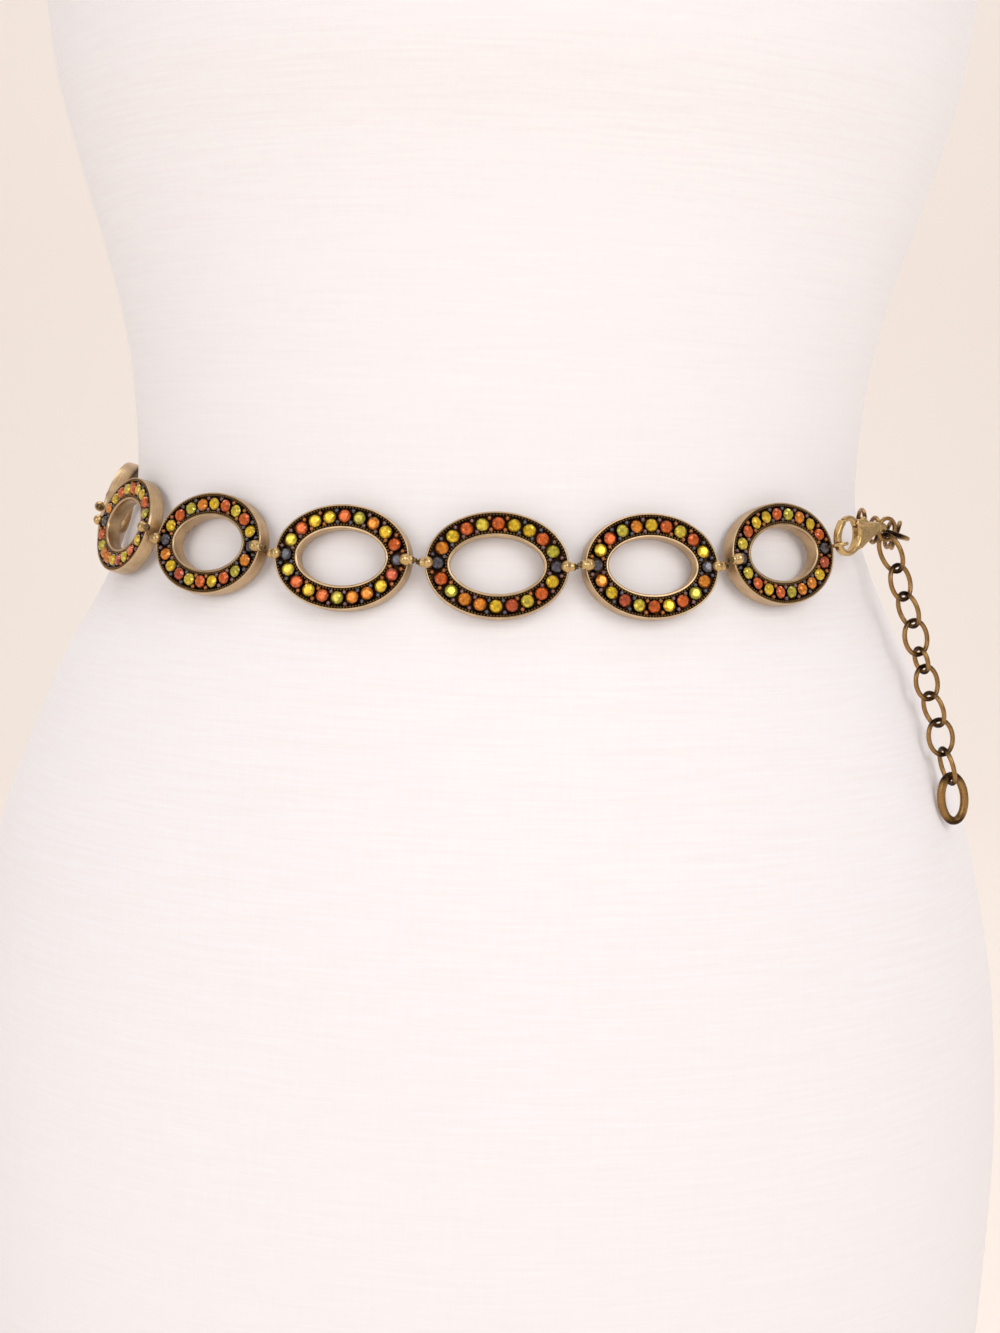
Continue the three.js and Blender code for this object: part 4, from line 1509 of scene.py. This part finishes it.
@dataclass
class LobsterClasp:
    """The cast clasp: its hook and tail in one piece, and the thumb lever with its gate."""

    weld: float = 0.002 * MM
    grain: float = 0.17 * MM
    melt: float = 0.5
    dome_run: float = 1.7 * MM
    edge_share: float = 0.66
    wall_slope: float = 0.4
    rounds: dict[str, int] = field(default_factory=lambda: {"clasp_body": 32, "clasp_lever": 10})

    def build(self) -> None:
        """Rounds the two cast pieces and dresses them."""
        for node, times in self.rounds.items():
            self.rounded(node, times)

    def rounded(self, node: str, times: int) -> None:
        """Copies a node's solid, melts its edges round as a casting's are, and gives it gold.

        Args:
            node: The node that is copied and replaced.
            times: How many times it is smoothed.
        """
        name = f"{node}_cast"
        rough = new_object(f"{name}_rough", frame["nodes"][node].data.copy())
        rough.modifiers.new("weld", "WELD").merge_threshold = self.weld
        skin = rough.modifiers.new("skin", "REMESH")
        skin.mode = "VOXEL"
        skin.voxel_size = self.grain
        melt = rough.modifiers.new("melt", "SMOOTH")
        melt.factor = self.melt
        melt.iterations = times
        graph = bpy.context.evaluated_depsgraph_get()
        mesh = bpy.data.meshes.new_from_object(rough.evaluated_get(graph), depsgraph=graph)
        bpy.data.objects.remove(rough)
        mesh.name = name
        self.dome(mesh, Place.of_node(node))
        mesh.shade_smooth()
        mesh.materials.clear()
        set_off(dressed(name, mesh, BEAD_GOLD), "belt", [node])

    def dome(self, mesh: bpy.types.Mesh, place: Place) -> None:
        """Thins a flat casting towards its edges, so that its two faces are domed.

        Args:
            mesh: The casting, flat on both sides.
            place: The casting's own axes, with the last one through its thickness.
        """
        local = place.local(read_points(mesh))
        middle = (local[:, 2].max() + local[:, 2].min()) / 2
        facing = np.abs(read_points(mesh, "normal") @ place.axes()[2])
        wall = np.flatnonzero(facing < self.wall_slope)
        tree = KDTree(len(wall))
        for entry in wall:
            tree.insert((local[entry, 0], local[entry, 1], 0.0), int(entry))
        tree.balance()
        inward = np.array([tree.find((x, y, 0.0))[2] for x, y, _ in local])
        share = np.clip(inward / self.dome_run, 0, 1)
        local[:, 2] = middle + (local[:, 2] - middle) * (
            self.edge_share + (1 - self.edge_share) * np.sqrt(1 - (1 - share) ** 2))
        move_points(mesh, place.world(local))


@dataclass(frozen=True)
class Softbox:
    """A soft rectangular lamp, in metres and watts."""

    name: str
    at: tuple[float, float, float]
    sides: tuple[float, float]
    power: float
    colour: str

    def hang(self, target: Vector) -> None:
        """Puts the lamp in the scene.

        Args:
            target: The point that it faces.
        """
        data = bpy.data.lights.new(self.name, "AREA")
        data.shape = "RECTANGLE"
        data.size, data.size_y = self.sides
        data.energy = self.power
        data.color = linear(self.colour)[:3]
        lamp = bpy.data.objects.new(self.name, data)
        lamp.location = self.at
        lamp.rotation_euler = (target - Vector(self.at)).to_track_quat("-Z", "Y").to_euler()
        bpy.context.scene.collection.objects.link(lamp)


@dataclass
class Studio:
    """Seamless paper, soft lights and the camera.

    The camera's place in metres and its three angles in degrees were fitted to the photograph.
    """

    camera_at: tuple[float, float, float] = (-3.87 * MM, -557.0 * MM, 361.2 * MM)
    focal_share: float = 1633.3 / 1333
    yaw: float = 0.69
    pitch: float = 7.57
    roll: float = 1.72
    sensor: float = 36.0
    nearest: float = 0.01
    paper_front: float = -3.0
    paper_bend: float = 1.1
    bend_radius: float = 0.6
    bend_start: float = 0.1
    bend_steps: int = 14
    paper_top: float = 3.2
    paper_half_width: float = 4.0
    paper_drop: float = 0.5 * MM
    surround: str = "FFFBFB"
    surround_strength: float = 0.46
    aim: tuple[float, float, float] = (0.0, 0.0, 0.4)
    lamps: tuple[Softbox, ...] = (
        Softbox("key_softbox", (0.9, -1.7, 1.35), (1.2, 1.2), 13.6, "FFFEFE"),
        Softbox("fill_softbox", (-1.2, -1.6, 0.8), (1.3, 1.3), 7.6, "FFFEFF"),
        Softbox("top_softbox", (0.0, -0.6, 2.2), (1.6, 1.2), 5.0, "FFFFFF"),
        Softbox("paper_wash", (0.0, 0.75, 2.1), (2.6, 0.8), 17.0, "FFFCFA"),
    )

    def build(self) -> None:
        """Sets the floor, the lights and the camera."""
        self.paper()
        self.lights()
        self.tone()
        self.camera()

    def paper(self) -> None:
        """Lays a floor that sweeps up behind the form."""
        bend = [
            (self.paper_bend + self.bend_radius * math.sin(t), self.bend_radius * (1 - math.cos(t)))
            for t in np.linspace(self.bend_start, math.pi / 2, self.bend_steps)]
        profile = [
            (self.paper_front, 0.0), (self.paper_bend, 0.0), *bend,
            (self.paper_bend + self.bend_radius, self.paper_top)]
        points = [
            (x, y, z - self.paper_drop)
            for x in (-self.paper_half_width, self.paper_half_width) for y, z in profile]
        n = len(profile)
        faces = [(i, i + n, i + n + 1, i + 1) for i in range(n - 1)]
        dressed("studio_sweep", mesh_from("studio_sweep", points, faces), PAPER)

    def lights(self) -> None:
        """Hangs large soft lights and sets a pale surround."""
        world = bpy.data.worlds.new("soft_surround")
        world.use_nodes = True
        world.node_tree.nodes.clear()
        glow = add_node(
            world.node_tree, "ShaderNodeBackground",
            {"Color": linear(self.surround), "Strength": self.surround_strength})
        add_node(world.node_tree, "ShaderNodeOutputWorld", {"Surface": glow.outputs[0]})
        bpy.context.scene.world = world
        for lamp in self.lamps:
            lamp.hang(Vector(self.aim))

    @staticmethod
    def tone() -> None:
        """Keeps whites clean and colours full, as the photograph has them."""
        bpy.context.scene.view_settings.view_transform = "Standard"

    def camera(self) -> None:
        """Places the camera: turned level first, then tilted down, then rolled."""
        yaw, pitch, roll = (math.radians(a) for a in (self.yaw, self.pitch, self.roll))
        right = Vector((math.cos(yaw), -math.sin(yaw), 0))
        level = Vector((math.sin(yaw), math.cos(yaw), 0))
        ahead = level * math.cos(pitch) - Vector((0, 0, math.sin(pitch)))
        up = level * math.sin(pitch) + Vector((0, 0, math.cos(pitch)))
        rolled_right = right * math.cos(roll) + up * math.sin(roll)
        rolled_up = up * math.cos(roll) - right * math.sin(roll)
        data = bpy.data.cameras.new("photo_view")
        data.sensor_fit = "AUTO"
        data.sensor_width = self.sensor
        data.lens = self.sensor * self.focal_share
        data.clip_start = self.nearest
        lens = bpy.data.objects.new("photo_view", data)
        lens.matrix_world = Matrix.Translation(self.camera_at) @ Matrix(
            (rolled_right, rolled_up, -ahead)).transposed().to_4x4()
        bpy.context.scene.collection.objects.link(lens)
        bpy.context.scene.camera = lens


def main() -> None:
    """Builds every sub-assembly."""
    logging.basicConfig(level=logging.INFO, format="%(name)s: %(message)s")
    wire = wire_recipe()
    DressForm().build()
    ovals = OvalLinks()
    ovals.build(ring_recipe())
    Joins(ovals.places).build(place_recipe(), wire)
    WireChain().build(wire)
    LobsterClasp().build()
    Studio().build()


if __name__ == "__main__":
    main()
